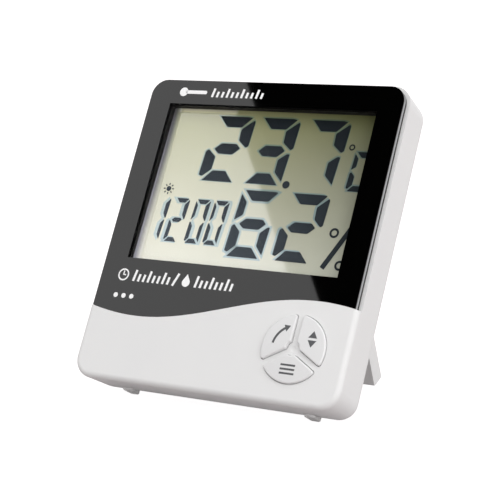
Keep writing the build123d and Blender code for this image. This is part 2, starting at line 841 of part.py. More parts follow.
with BuildPart() as rear_case:
    with BuildSketch(at_depth(case_depth)):
        case_outline()
    extrude(amount=case_depth - split_depth, taper=-side_draft)
    fillet(rear_case.faces().sort_by(outward)[0].edges(), back_round)
    add(rear_hollow.part, mode=Mode.SUBTRACT)
    # Lip that enters the front shell
    with BuildSketch(at_depth(split_depth + lip_height)) as lip:
        case_outline(wall - lip_thickness)
        case_outline(wall, Mode.SUBTRACT)
    extrude(amount=2 * lip_height)
    # Box round the stand's recess
    with BuildSketch(at_depth(case_depth - wall / 2)):
        with Locations((0, recess_bottom - recess_wall)):
            Rectangle(
                2 * (recess_half_width + recess_wall),
                bay_centre - bay_half_height - recess_bottom + recess_wall,
                align=(Align.CENTER, Align.MIN),
            )
    extrude(amount=case_depth - wall / 2 - (recess_floor - recess_wall))
    # Bosses outside the recess for the stand's pins
    for pin_side in (-1, 1):
        with BuildSketch(at_side(pin_side * recess_half_width)):
            with Locations((stand_pivot_depth, stand_pivot_height)):
                Circle(pin_boss_radius)
        extrude(amount=pin_side * pin_boss_length)
    # Box round the battery
    with BuildSketch(at_depth(case_depth - wall / 2)):
        with Locations((0, bay_centre)):
            Rectangle(bay_length + 2 * bay_wall, 2 * (bay_half_height + bay_wall))
    extrude(amount=case_depth - wall / 2 - bay_front)
    # Stand recess, its pin holes and the notch for a finger
    with BuildSketch(at_depth(recess_floor)):
        with Locations((0, (recess_bottom + recess_top) / 2)):
            Rectangle(2 * recess_half_width, recess_top - recess_bottom)
    extrude(amount=-(case_depth - recess_floor + overrun), mode=Mode.SUBTRACT)
    with BuildSketch(at_side(-recess_half_width - pin_length)):
        with Locations((stand_pivot_depth, stand_pivot_height)):
            Circle(pin_radius + pin_gap)
    extrude(amount=2 * (recess_half_width + pin_length), mode=Mode.SUBTRACT)
    with BuildSketch(at_depth(case_depth - finger_notch_depth)):
        with Locations((0, recess_bottom + finger_notch_radius / 2)):
            Circle(finger_notch_radius)
    extrude(amount=-(finger_notch_depth + overrun), mode=Mode.SUBTRACT)
    # Battery trough, round at the front and open at the back
    with BuildSketch(at_side(-bay_length / 2)):
        with Locations((cell_depth, bay_centre)):
            Circle(bay_half_height)
            Rectangle(
                case_depth - cell_depth + overrun,
                2 * bay_half_height,
                align=(Align.MIN, Align.CENTER),
            )
    extrude(amount=bay_length, mode=Mode.SUBTRACT)
    with BuildSketch(at_depth(door_seat)):
        with Locations((0, bay_centre)):
            RectangleRounded(
                door_width + 2 * door_gap, door_height + 2 * door_gap, door_corner + door_gap
            )
    extrude(amount=-(case_depth - door_seat + overrun), mode=Mode.SUBTRACT)
    # Slots through the bay's lower wall for the contacts' tabs
    with BuildSketch(at_height(bay_centre - bay_half_height - 2 * bay_wall)):
        with Locations(
            *[
                (x * (bay_length / 2 - contact_gap - contact_thickness / 2), lead_depth)
                for x in (-1, 1)
            ]
        ):
            Rectangle(contact_thickness + 2 * contact_gap, tab_width + 2 * tab_gap)
    extrude(amount=2 * bay_wall + bay_half_height, mode=Mode.SUBTRACT)
    # Hanging hole: round entry with a narrower slot above
    with BuildSketch(at_depth(case_depth - wall - overrun)):
        with Locations((0, keyhole_height)):
            Circle(keyhole_radius)
        with Locations((0, keyhole_height + keyhole_slot_rise / 2)):
            Rectangle(2 * keyhole_slot_radius, keyhole_slot_rise)
        with Locations((0, keyhole_height + keyhole_slot_rise)):
            Circle(keyhole_slot_radius)
    extrude(amount=-(wall + 2 * overrun), mode=Mode.SUBTRACT)
    # Vents over the sensors and sound holes over the buzzer
    with BuildSketch(at_depth(rear_wall_inside)):
        with Locations((sensor_x, sensor_height)):
            with GridLocations(vent_pitch, 0, vent_count, 1):
                SlotOverall(vent_length, vent_width, rotation=90)
        with Locations((buzzer_x, buzzer_height)):
            with PolarLocations(sound_hole_ring_radius, sound_hole_count):
                Circle(sound_hole_radius)
    extrude(amount=-(wall + overrun), mode=Mode.SUBTRACT)
    # Holes for the rear keys
    with BuildSketch(at_depth(rear_wall_inside)):
        with Locations(*rear_key_places.values()):
            Circle(rear_key_radius + rear_key_gap)
    extrude(amount=-(wall + overrun), mode=Mode.SUBTRACT)
    # Bosses for the case screws, with their heads sunk from the back
    with BuildSketch(at_depth(case_depth - wall / 2)):
        with Locations(*case_screw_places):
            Circle(rear_boss_radius)
    extrude(amount=case_depth - wall / 2 - split_depth)
    with BuildSketch(at_depth(split_depth)):
        with Locations(*case_screw_places):
            Circle(case_screw_way)
    extrude(amount=-(case_depth - split_depth), mode=Mode.SUBTRACT)
    with BuildSketch(at_depth(head_seat)):
        with Locations(*case_screw_places):
            Circle(case_screw_head_radius + head_gap)
    extrude(amount=-(case_depth - head_seat + overrun), mode=Mode.SUBTRACT)
    # Hooks at the top
    for hook_place in (-hook_x, hook_x):
        hook_end = split_depth - lip_height - hook_reach
        hook_top = case_height - wall - hook_gap
        with BuildSketch(at_depth(split_depth + lip_height)):
            with Locations((hook_place, hook_top - hook_thickness / 2)):
                Rectangle(hook_width, hook_thickness)
        extrude(amount=2 * lip_height + hook_reach)
        with BuildSketch(at_height(hook_top)):
            with Locations((hook_place, hook_end + hook_bump_length / 2)):
                Rectangle(hook_width, hook_bump_length)
        extrude(amount=hook_bump)
        with BuildSketch(at_depth(split_depth + 2 * lip_height)):
            with Locations((hook_place, hook_top)):
                Rectangle(hook_width, hook_thickness)
        extrude(amount=lip_height)
    # Posts that carry the sensor board, with a stake through each hole
    sensor_back = rear_wall_inside - sensor_standoff
    post_places = [
        (sensor_x + side * (sensor_board_width / 2 - sensor_post_inset), sensor_height)
        for side in (-1, 1)
    ]
    with BuildSketch(at_depth(rear_wall_inside + wall / 2)):
        with Locations(*post_places):
            Circle(sensor_post_radius)
    extrude(amount=sensor_standoff + wall / 2)
    with BuildSketch(at_depth(sensor_back)):
        with Locations(*post_places):
            Circle(sensor_pin_radius)
    extrude(amount=sensor_board_thickness)
    # Feet under the case
    for foot_hand in (-1, 1):
        with BuildSketch(at_height(-foot_drop)):
            with Locations((foot_hand * foot_spacing / 2, (foot_front + foot_back) / 2)):
                RectangleRounded(foot_width, foot_back - foot_front, foot_end_round)
        extrude(amount=foot_drop + foot_root)
    sole_edges = rear_case.faces().sort_by(upward)[:2].edges()
    fillet(sole_edges, contact_radius)
pieces["rear_case"] = rear_case.part


# Stand, hollowed with ribs on its inner face

turn = math.radians(stand_open_angle)
stand_along = back * math.sin(turn) - up * math.cos(turn)
stand_outward = back * math.cos(turn) + up * math.sin(turn)
pivot_point = place(0, stand_pivot_depth, stand_pivot_height)
stand_side = Plane(origin=pivot_point, x_dir=stand_along, z_dir=right)
stand_face = Plane(origin=pivot_point, x_dir=right, z_dir=-stand_outward)
pocket_width = (stand_width - 2 * stand_rim - (stand_columns - 1) * stand_rib) / stand_columns
pocket_length = (stand_reach - 2 * stand_rim - (stand_rows - 1) * stand_rib) / stand_rows
with BuildPart() as stand:
    with BuildSketch(stand_side.offset(-stand_width / 2)) as profile:
        with Locations(((stand_reach - stand_heel) / 2, (stand_outer - stand_inner) / 2)):
            Rectangle(stand_reach + stand_heel, stand_thickness)
        fillet(profile.vertices().group_by(Axis.X)[-1], contact_radius)
    extrude(amount=stand_width)
    with BuildSketch(stand_face.offset(stand_inner)):
        with Locations((0, -stand_reach / 2)):
            with GridLocations(
                pocket_width + stand_rib, pocket_length + stand_rib, stand_columns, stand_rows
            ):
                Rectangle(pocket_width, pocket_length)
    extrude(amount=-(stand_thickness - stand_skin), mode=Mode.SUBTRACT)
    for pin_side in (-1, 1):
        with BuildSketch(stand_side.offset(pin_side * stand_width / 2)):
            Circle(pin_radius)
        extrude(amount=pin_side * pin_length)
pieces["stand"] = stand.part


# Battery door, cell and contacts

with BuildPart() as battery_door:
    with BuildSketch(at_depth(case_depth)):
        with Locations((0, bay_centre)):
            RectangleRounded(door_width, door_height, door_corner)
    extrude(amount=door_thickness)
    with BuildSketch(at_depth(case_depth)):
        with Locations((0, bay_centre)):
            with GridLocations(0, door_grip_pitch, 1, door_grip_count):
                Rectangle(door_grip_width, door_grip_height)
    extrude(amount=door_grip_proud, mode=Mode.SUBTRACT)
    tongue_height = bay_half_height - door_tongue_gap - door_tongue_thickness / 2
    with BuildSketch(at_depth(case_depth - door_thickness)):
        with Locations((0, bay_centre)):
            with GridLocations(2 * door_tongue_x, 2 * tongue_height, 2, 2):
                Rectangle(door_tongue_width, door_tongue_thickness)
    extrude(amount=door_tongue_reach)
pieces["battery_door"] = battery_door.part

contact_inner = bay_length / 2 - contact_gap - contact_thickness
with BuildPart() as battery_cell:
    with BuildSketch(at_side(contact_inner - nub_height)):
        with Locations((cell_depth, bay_centre)):
            Circle(cell_radius)
    extrude(amount=-(cell_length - nub_height))
    fillet(battery_cell.edges().filter_by(GeomType.CIRCLE), cell_edge)
    with BuildSketch(at_side(contact_inner - nub_height)):
        with Locations((cell_depth, bay_centre)):
            Circle(nub_radius)
    extrude(amount=nub_height)
pieces["battery_cell"] = battery_cell.part


def contact_plate(side):
    """Round plate at one end of the bay with a tab down through the lower wall."""
    with BuildSketch(at_side(side * contact_inner)) as plate:
        with Locations((cell_depth, bay_centre)):
            Circle(terminal_radius)
        with Locations((lead_depth, (tab_end + bay_centre) / 2)):
            Rectangle(tab_width, bay_centre - tab_end)
    extrude(plate.sketch, amount=side * contact_thickness)


with BuildPart() as positive_contact:
    contact_plate(1)
pieces["positive_contact"] = positive_contact.part

with BuildPart() as negative_contact:
    contact_plate(-1)
pieces["negative_contact"] = negative_contact.part

# Coil spring between the cell and the negative plate
spring_axis = Axis(place(-contact_inner, cell_depth, bay_centre), right)
spring_pitch = (spring_room - spring_wire) / spring_turns
spring_start = place(-contact_inner + spring_wire / 2, cell_depth, bay_centre)
with BuildPart() as battery_spring:
    with BuildLine() as coil:
        Helix(
            spring_pitch,
            spring_room - spring_wire,
            spring_small_radius,
            center=spring_start,
            direction=right,
        )
    with BuildSketch(Plane(origin=coil.line @ 0, z_dir=coil.line % 0)):
        Circle(spring_wire / 2)
    sweep(is_frenet=True)
pieces["battery_spring"] = battery_spring.part


# Sensors on their board

sensor_front = sensor_back - sensor_board_thickness
with BuildPart() as sensor_board:
    with BuildSketch(at_depth(sensor_back)):
        with Locations((sensor_x, sensor_height)):
            Rectangle(sensor_board_width, sensor_board_height)
        with Locations(*post_places):
            Circle(sensor_pin_radius + sensor_pin_gap, mode=Mode.SUBTRACT)
    extrude(amount=sensor_board_thickness)
pieces["sensor_board"] = sensor_board.part

with BuildPart() as humidity_sensor:
    with BuildSketch(at_depth(sensor_back)):
        with Locations((sensor_x, sensor_height + humidity_shift)):
            Rectangle(humidity_width, humidity_height)
    extrude(amount=-humidity_thickness)
    with BuildSketch(at_depth(sensor_back + humidity_thickness)):
        with Locations((sensor_x, sensor_height + humidity_shift)):
            with GridLocations(humidity_slot_pitch, 0, humidity_slot_count, 1):
                SlotOverall(humidity_slot_length, humidity_slot_width, rotation=90)
    extrude(amount=humidity_slot_depth, mode=Mode.SUBTRACT)
pieces["humidity_sensor"] = humidity_sensor.part

bead_depth = sensor_back + bead_leg_length
with BuildPart() as thermistor:
    with BuildSketch(at_depth(sensor_back)):
        with Locations((sensor_x, sensor_height + bead_shift)):
            with GridLocations(bead_leg_spacing, 0, 2, 1):
                Circle(bead_leg_radius)
    extrude(amount=-bead_leg_length)
    with Locations(Location(place(sensor_x, bead_depth, sensor_height + bead_shift))):
        Sphere(bead_radius)
pieces["thermistor"] = thermistor.part


# Sounder disc under its sound holes

with BuildPart() as buzzer_disc:
    with BuildSketch(at_depth(rear_wall_inside)):
        with Locations((buzzer_x, buzzer_height)):
            Circle(buzzer_radius)
    extrude(amount=buzzer_thickness)
pieces["buzzer_disc"] = buzzer_disc.part

with BuildPart() as buzzer_ceramic:
    with BuildSketch(at_depth(rear_wall_inside - buzzer_thickness)):
        with Locations((buzzer_x, buzzer_height)):
            Circle(ceramic_radius)
    extrude(amount=ceramic_thickness)
pieces["buzzer_ceramic"] = buzzer_ceramic.part


# Screws

def screw(spots, seat, radius, length, head_radius, head_height):
    """Pan-head screws at the spots, with the head behind the seat and the shank in front of it."""
    with BuildSketch(at_depth(seat)) as shank:
        with Locations(*spots):
            Circle(radius)
    extrude(shank.sketch, amount=length)
    with BuildSketch(at_depth(seat)) as head:
        with Locations(*spots):
            Circle(head_radius)
    extrude(head.sketch, amount=-head_height)
    with BuildSketch(at_depth(seat + head_height)) as cross:
        with Locations(*spots):
            Rectangle(2 * screw_recess_radius, screw_recess_radius / 2)
            Rectangle(screw_recess_radius / 2, 2 * screw_recess_radius)
    extrude(cross.sketch, amount=screw_recess_depth, mode=Mode.SUBTRACT)


with BuildPart() as board_screws:
    screw(
        board_screw_places,
        board_back,
        board_screw_radius,
        board_screw_length,
        board_screw_head_radius,
        board_screw_head_height,
    )
pieces["board_screws"] = board_screws.part

with BuildPart() as case_screws:
    screw(
        case_screw_places,
        head_seat,
        case_screw_radius,
        case_screw_length,
        case_screw_head_radius,
        case_screw_head_height,
    )
pieces["case_screws"] = case_screws.part


# Leads, each a tube on straight runs and arcs

def lead(points):
    """Tube along places in the leaning case, with a bend at each inner one."""
    with BuildLine() as route:
        FilletPolyline(*[place(*point) for point in points], radius=lead_bend)
    with BuildSketch(Plane(origin=route.line @ 0, z_dir=route.line % 0)) as end:
        Circle(lead_radius)
    sweep(end.sketch, path=route.line)


def drop_route(x, depth, height):
    """Route from a place behind the board's level, forwards, down and onto the board."""
    return [
        (x, depth, height),
        (x, lead_depth, height),
        (x, lead_depth, lead_landing_height),
        (x, board_back, lead_landing_height),
    ]


sensor_lead_height = sensor_height - sensor_lead_drop
buzzer_lead_height = buzzer_height - buzzer_lead_drop
tab_middle = contact_inner + contact_thickness / 2
ceramic_front = rear_wall_inside - buzzer_thickness - ceramic_thickness
disc_front = rear_wall_inside - buzzer_thickness
routes = {
    "sensor_lead_inner": drop_route(-lead_x, sensor_front, sensor_lead_height),
    "sensor_lead_outer": drop_route(
        -lead_x - sensor_lead_pitch, sensor_front, sensor_lead_height
    ),
    "buzzer_lead_inner": drop_route(lead_x, ceramic_front, buzzer_lead_height),
    "buzzer_lead_outer": drop_route(
        lead_x + buzzer_lead_pitch, disc_front, buzzer_lead_height
    ),
}
for lead_name, side in (("positive_lead", 1), ("negative_lead", -1)):
    routes[lead_name] = [
        (side * tab_middle, lead_depth, tab_end),
        (side * tab_middle, lead_depth, lead_landing_height),
        (side * tab_middle, board_back, lead_landing_height),
    ]
for lead_name, route_points in routes.items():
    with BuildPart() as insulated_lead:
        lead(route_points)
    pieces[lead_name] = insulated_lead.part

os.makedirs("parts", exist_ok=True)
for name, part in pieces.items():
    part.label = name
    export_step(part, "parts/" + name + ".step")
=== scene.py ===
"""Looks of a desk clock with thermometer and hygrometer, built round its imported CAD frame."""

import json
import logging
import math
from abc import ABC, abstractmethod
from dataclasses import dataclass, field
from enum import Enum
from typing import Sequence

import bpy
import numpy as np
from mathutils import Matrix, Vector

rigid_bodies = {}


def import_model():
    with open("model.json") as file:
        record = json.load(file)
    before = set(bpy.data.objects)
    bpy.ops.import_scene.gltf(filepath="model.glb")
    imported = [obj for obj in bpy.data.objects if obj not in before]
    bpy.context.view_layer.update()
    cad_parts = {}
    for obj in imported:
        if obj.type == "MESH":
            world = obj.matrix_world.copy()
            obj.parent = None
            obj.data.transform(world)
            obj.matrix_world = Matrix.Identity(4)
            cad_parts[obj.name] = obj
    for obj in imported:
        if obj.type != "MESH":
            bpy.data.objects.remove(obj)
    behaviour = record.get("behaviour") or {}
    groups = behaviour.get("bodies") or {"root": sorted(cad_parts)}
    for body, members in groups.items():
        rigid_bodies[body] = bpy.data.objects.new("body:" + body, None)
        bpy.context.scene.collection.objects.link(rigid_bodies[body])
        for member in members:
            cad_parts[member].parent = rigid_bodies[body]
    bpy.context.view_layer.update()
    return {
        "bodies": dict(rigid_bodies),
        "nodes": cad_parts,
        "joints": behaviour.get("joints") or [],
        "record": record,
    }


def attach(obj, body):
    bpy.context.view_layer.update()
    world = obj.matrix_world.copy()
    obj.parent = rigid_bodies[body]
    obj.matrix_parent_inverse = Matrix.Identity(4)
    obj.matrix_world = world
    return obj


LOG = logging.getLogger("clock")
MM = 0.001
WINDOW_TOP = 107.9
# Values between which a noise texture lies over most of a surface
NOISE_LOW, NOISE_HIGH = 0.3, 0.7
# A line is given by its two ends, and a ruler by what Window.scale takes
Colour = tuple[float, float, float, float]
Triple = tuple[float, float, float]
Pair = tuple[float, float]
Line = tuple[Pair, Pair]
Ruler = tuple[float, float, int, float, float]
Chunk = tuple[np.ndarray, list[list[int]]]
RimStops = tuple[tuple[float, Triple], ...]


def linear(code: str) -> Colour:
    """Turn an sRGB hex colour into the linear light that shader sockets take.

    Args:
        code: The colour as "#RRGGBB".

    Returns:
        Red, green and blue in linear light, and an alpha of one.
    """
    tone = np.array([int(code[i : i + 2], 16) for i in (1, 3, 5)]) / 255
    light = np.where(tone <= 0.04045, tone / 12.92, ((tone + 0.055) / 1.055) ** 2.4)
    return (*light.tolist(), 1.0)


def add_node(
    tree: bpy.types.NodeTree, kind: str, inputs: dict | None = None, **settings: object
) -> bpy.types.Node:
    """Add one node with its settings, values and links.

    Args:
        tree: The node tree that gets the node.
        kind: The node's type name.
        inputs: Value or output socket for each input, by its name or number.
        settings: Properties of the node; stops gives a colour ramp's places and colours.

    Returns:
        The new node.
    """
    node = tree.nodes.new(kind)
    stops = settings.pop("stops", ())
    for name, value in settings.items():
        setattr(node, name, value)
    for number, (spot, colour) in enumerate(stops):
        ramp = node.color_ramp.elements
        stop = ramp[number] if number < 2 else ramp.new(spot)
        stop.position, stop.color = spot, colour
    for name, value in (inputs or {}).items():
        if isinstance(value, bpy.types.NodeSocket):
            tree.links.new(value, node.inputs[name])
        else:
            node.inputs[name].default_value = value
    return node


@dataclass(frozen=True)
class CaseFrame:
    """Axes of the leaning case: x to the viewer's right, depth inwards, height up the case."""

    origin: np.ndarray
    back: np.ndarray
    up: np.ndarray

    @classmethod
    def from_frame(cls, frame: dict) -> "CaseFrame":
        """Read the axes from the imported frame.


        Returns:
            The case's axes, with depth 0 on the window's face and height 0 on the underside.
        """
        pull = next(j for j in frame["joints"] if j["name"] == "battery_door_pull")
        back = np.array(pull["axis"], float)
        back /= np.linalg.norm(back)
        up = np.array([0.0, -back[2], back[1]])
        window = cls.corners(frame["nodes"]["display_window"])
        underside = (window @ up).max() - WINDOW_TOP * MM
        return cls(back * (window @ back).min() + up * underside, back, up)

    @staticmethod
    def corners(piece: bpy.types.Object) -> np.ndarray:
        """Points of a mesh as one row each.

        Args:
            piece: The object that has the mesh.

        Returns:
            Rows of x, y and z in metres.
        """
        points = np.empty(len(piece.data.vertices) * 3)
        piece.data.vertices.foreach_get("co", points)
        return points.reshape(-1, 3)

    def place(self, points: np.ndarray) -> np.ndarray:
        """Carry places in the case to the world.

        Args:
            points: Rows of x, depth and height in millimetres.

        Returns:
            Rows of world points in metres: origin + x right + depth back + height up.
        """
        rows = np.atleast_2d(points) * MM
        right = np.array([1.0, 0.0, 0.0])
        return self.origin + rows[:, :1] * right + rows[:, 1:2] * self.back + rows[:, 2:] * self.up

    @property
    def lean(self) -> float:
        """Angle in radians by which the case leans back."""
        return math.atan2(-self.back[2], self.back[1])


def case_place(tree: bpy.types.NodeTree, case: CaseFrame) -> bpy.types.NodeSocket:
    """Give a material the place in the case: x, depth and height in metres.

    Args:
        tree: The material's nodes.
        case: The case's axes.

    Returns:
        The vector output of a Mapping node that undoes the lean.
    """
    where = add_node(tree, "ShaderNodeTexCoord").outputs["Object"]
    inputs = {"Vector": where, "Location": case.origin.tolist(), "Rotation": (-case.lean, 0, 0)}
    return add_node(tree, "ShaderNodeMapping", inputs, vector_type="TEXTURE").outputs[0]


@dataclass(frozen=True)
class Opening:
    """Opening in the black print through which the display shows, in millimetres in the case."""

    half_width: float = 40.15
    bottom: float = 41.6
    top: float = 99.0


# Outlines in the plane of the front: columns are x and height in millimetres


def turned_left(outline: np.ndarray) -> np.ndarray:
    """Outline with its points in counter-clockwise order, by the sign of its area.

    Args:
        outline: Corners as rows, in either order.

    Returns:
        The outline itself, or its rows from last to first.
    """
    following = np.roll(outline, -1, axis=0)
    area = np.sum(outline[:, 0] * following[:, 1] - outline[:, 1] * following[:, 0])
    return outline if area > 0 else outline[::-1]


def rounded(outline: np.ndarray, radius: float, steps: int = 5) -> np.ndarray:
    """Round every corner of an outline.

    Each corner c becomes the curve (1-t)^2 a + 2t(1-t) c + t^2 b, where a and b lie on its
    two edges at the radius from c, or at 45% of a shorter edge.

    Args:
        outline: Corners as rows.
        radius: Length taken off each edge.
        steps: Points for one corner.

    Returns:
        The rounded outline as rows.
    """
    before = np.roll(outline, 1, axis=0) - outline
    after = np.roll(outline, -1, axis=0) - outline
    reach = [
        edge * np.minimum(radius / np.linalg.norm(edge, axis=1), 0.45)[:, None]
        for edge in (before, after)
    ]
    t = np.linspace(0, 1, steps)[None, :, None]
    rows = (outline + reach[0], outline, outline + reach[1])
    start, corner, end = (row[:, None, :] for row in rows)
    return ((1 - t) ** 2 * start + 2 * t * (1 - t) * corner + t**2 * end).reshape(-1, 2)


def grown(outline: np.ndarray, amount: float) -> np.ndarray:
    """Move every edge outwards by one amount, with mitred corners.

    Args:
        outline: Counter-clockwise corners as rows.
        amount: Distance outwards.

    Returns:
        Corner + amount (m + n) / (1 + m.n), where m and n are its two edges' outward normals.
    """
    edge = np.roll(outline, -1, axis=0) - outline
    normal = np.column_stack([edge[:, 1], -edge[:, 0]]) / np.linalg.norm(edge, axis=1)[:, None]
    former = np.roll(normal, 1, axis=0)
    spread = np.maximum(1 + np.sum(normal * former, axis=1), 0.4)
    return outline + amount * (normal + former) / spread[:, None]


def arc(
    centre: Pair, radius: float, start: float, end: float, steps: int = 24
) -> np.ndarray:
    """Points on a circle between two angles in degrees: centre + radius (cos a, sin a)."""
    angle = np.radians(np.linspace(start, end, steps))
    return np.array(centre) + radius * np.column_stack([np.cos(angle), np.sin(angle)])


def disc(centre: Pair, radius: float, steps: int = 40) -> np.ndarray:
    """Outline of a whole circle."""
    return arc(centre, radius, 0, 360 * (1 - 1 / steps), steps)


def bar(start: Sequence[float], end: Sequence[float], width: float) -> np.ndarray:
    """Outline of a straight bar with square ends.

    Args:
        start: Middle of one end.
        end: Middle of the other end.
        width: Width across the bar.

    Returns:
        Its four corners, half the width to each side of the middle line.
    """
    first, last = np.array(start, float), np.array(end, float)
    along = (last - first) / np.linalg.norm(last - first)
    side = np.array([-along[1], along[0]]) * width / 2
    return np.array([first - side, last - side, last + side, first + side])


def slab(outline: np.ndarray, front: float | np.ndarray, rear: float | np.ndarray) -> Chunk:
    """Closed prism between a front depth and a rear depth, which may differ from point to point.

    Args:
        outline: Corners as rows, in either order.
        front: Depth of the face towards the viewer.
        rear: Depth of the face away from the viewer.

    Returns:
        Points as rows of x, depth and height, and faces that point outwards.
    """
    edge = turned_left(outline)
    count = len(edge)
    layers = [
        np.column_stack([edge[:, 0], np.broadcast_to(depth, count), edge[:, 1]])
        for depth in (front, rear)
    ]
    here = np.arange(count)
    there = (here + 1) % count
    sides = np.column_stack([here, here + count, there + count, there])
    faces = [here.tolist(), (here[::-1] + count).tolist(), *sides.tolist()]
    return np.vstack(layers), faces


def hoop(
    centre: Pair,
    inner: float,
    outer: float,
    front: float,
    rear: float,
    steps: int = 48,
) -> Chunk:
    """Closed flat ring: a rectangle of radius and depth carried round a circle.

    Args:
        centre: Middle of the ring.
        inner: Radius of the hole.
        outer: Outer radius.
        front: Depth of the face towards the viewer.
        rear: Depth of the face away from the viewer.
        steps: Sections round the ring.

    Returns:
        Points as rows of x, depth and height, and faces that point outwards.
    """
    angle = np.linspace(0, 2 * np.pi, steps, endpoint=False)[:, None]
    radius = np.array([outer, outer, inner, inner])[None, :]
    depth = np.broadcast_to(np.array([front, rear, rear, front]), (steps, 4))
    points = np.stack(
        [centre[0] + radius * np.cos(angle), depth, centre[1] + radius * np.sin(angle)], axis=-1
    )
    number = np.arange(steps * 4).reshape(steps, 4)
    beside, ahead = np.roll(number, -1, axis=1), np.roll(number, -1, axis=0)
    both = np.roll(beside, -1, axis=0)
    faces = np.stack([number, beside, both, ahead], axis=-1).reshape(-1, 4)
    return points.reshape(-1, 3), faces.tolist()


def make_piece(
    name: str,
    case: CaseFrame,
    chunks: Sequence[Chunk],
    material: bpy.types.Material,
    body: str,
) -> None:
    """Join closed shapes into one mesh at the origin that rides on a body.

    Args:
        name: Name of the piece.
        case: Axes that carry the shapes to the world.
        chunks: Points and faces of each shape.
        material: Finish of the whole piece.
        body: Body of the frame that carries it.
    """
    first = np.cumsum([0] + [len(points) for points, _ in chunks])
    corners = case.place(np.vstack([points for points, _ in chunks]))
    faces = [
        [number + start for number in face]
        for start, (_, shape) in zip(first.tolist(), chunks)
        for face in shape
    ]
    mesh = bpy.data.meshes.new(name)
    mesh.from_pydata(corners.tolist(), [], faces)
    mesh.materials.append(material)
    piece = bpy.data.objects.new(name, mesh)
    bpy.context.scene.collection.objects.link(piece)
    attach(piece, body)
    LOG.info("%s: %d faces on %s", name, len(faces), body)


# Finishes


@dataclass(frozen=True)
class Finish(ABC):
    """A real material with the way its surface was made."""

    name: str

    def material(self) -> bpy.types.Material:
        """Make the material once, and give the same one afterwards.

        Returns:
            The material.
        """
        found = bpy.data.materials.get(self.name)
        if found:
            return found
        made = bpy.data.materials.new(self.name)
        made.use_nodes = True
        made.node_tree.nodes.clear()
        shader = self.surface(made.node_tree)
        add_node(made.node_tree, "ShaderNodeOutputMaterial", {"Surface": shader})
        return made

    @abstractmethod
    def surface(self, tree: bpy.types.NodeTree) -> bpy.types.NodeSocket:
        """Build the shader and give its output socket.

        Args:
            tree: The material's nodes.

        Returns:
            The output socket of the shader.
        """


@dataclass(frozen=True)
class MouldedPlastic(Finish):
    """Injection-moulded plastic: an even colour with a fine spark-eroded grain.

    The eye sees a soft broad highlight that breaks up slightly, and hardly any change of tone.
    The real grain is about 0.05 mm across. It is drawn at 0.35 mm, so that it shows.
    """

    colour: str
    shade: str
    roughness: float = 0.55
    grain_mm: float = 0.35
    grain_lift_mm: float = 0.006
    cloud_mm: float = 18.0
    ior: float = 1.53
    gloss_spread: float = 0.04

    def surface(self, tree: bpy.types.NodeTree) -> bpy.types.NodeSocket:
        """Cloud the colour faintly, and let the grain lift the surface and vary its gloss.

        Args:
            tree: The material's nodes.

        Returns:
            The output socket of the shader.
        """
        where = add_node(tree, "ShaderNodeTexCoord").outputs["Object"]
        cloud = add_node(
            tree,
            "ShaderNodeTexNoise",
            {"Vector": where, "Scale": 1 / (self.cloud_mm * MM), "Detail": 2.0},
        )
        grain = add_node(
            tree,
            "ShaderNodeTexNoise",
            {"Vector": where, "Scale": 1 / (self.grain_mm * MM), "Detail": 3.0},
        )
        tone = add_node(
            tree,
            "ShaderNodeMix",
            {0: cloud.outputs[0], 6: linear(self.colour), 7: linear(self.shade)},
            data_type="RGBA",
        )
        gloss = add_node(
            tree,
            "ShaderNodeMapRange",
            {
                "Value": grain.outputs[0],
                "From Min": NOISE_LOW,
                "From Max": NOISE_HIGH,
                "To Min": self.roughness - self.gloss_spread,
                "To Max": self.roughness + self.gloss_spread,
            },
        )
        lift = add_node(
            tree,
            "ShaderNodeBump",
            {"Height": grain.outputs[0], "Strength": 1.0, "Distance": self.grain_lift_mm * MM},
        )
        return add_node(
            tree,
            "ShaderNodeBsdfPrincipled",
            {
                "Base Color": tone.outputs[2],
                "Roughness": gloss.outputs[0],
                "IOR": self.ior,
                "Normal": lift.outputs[0],
            },
        ).outputs[0]


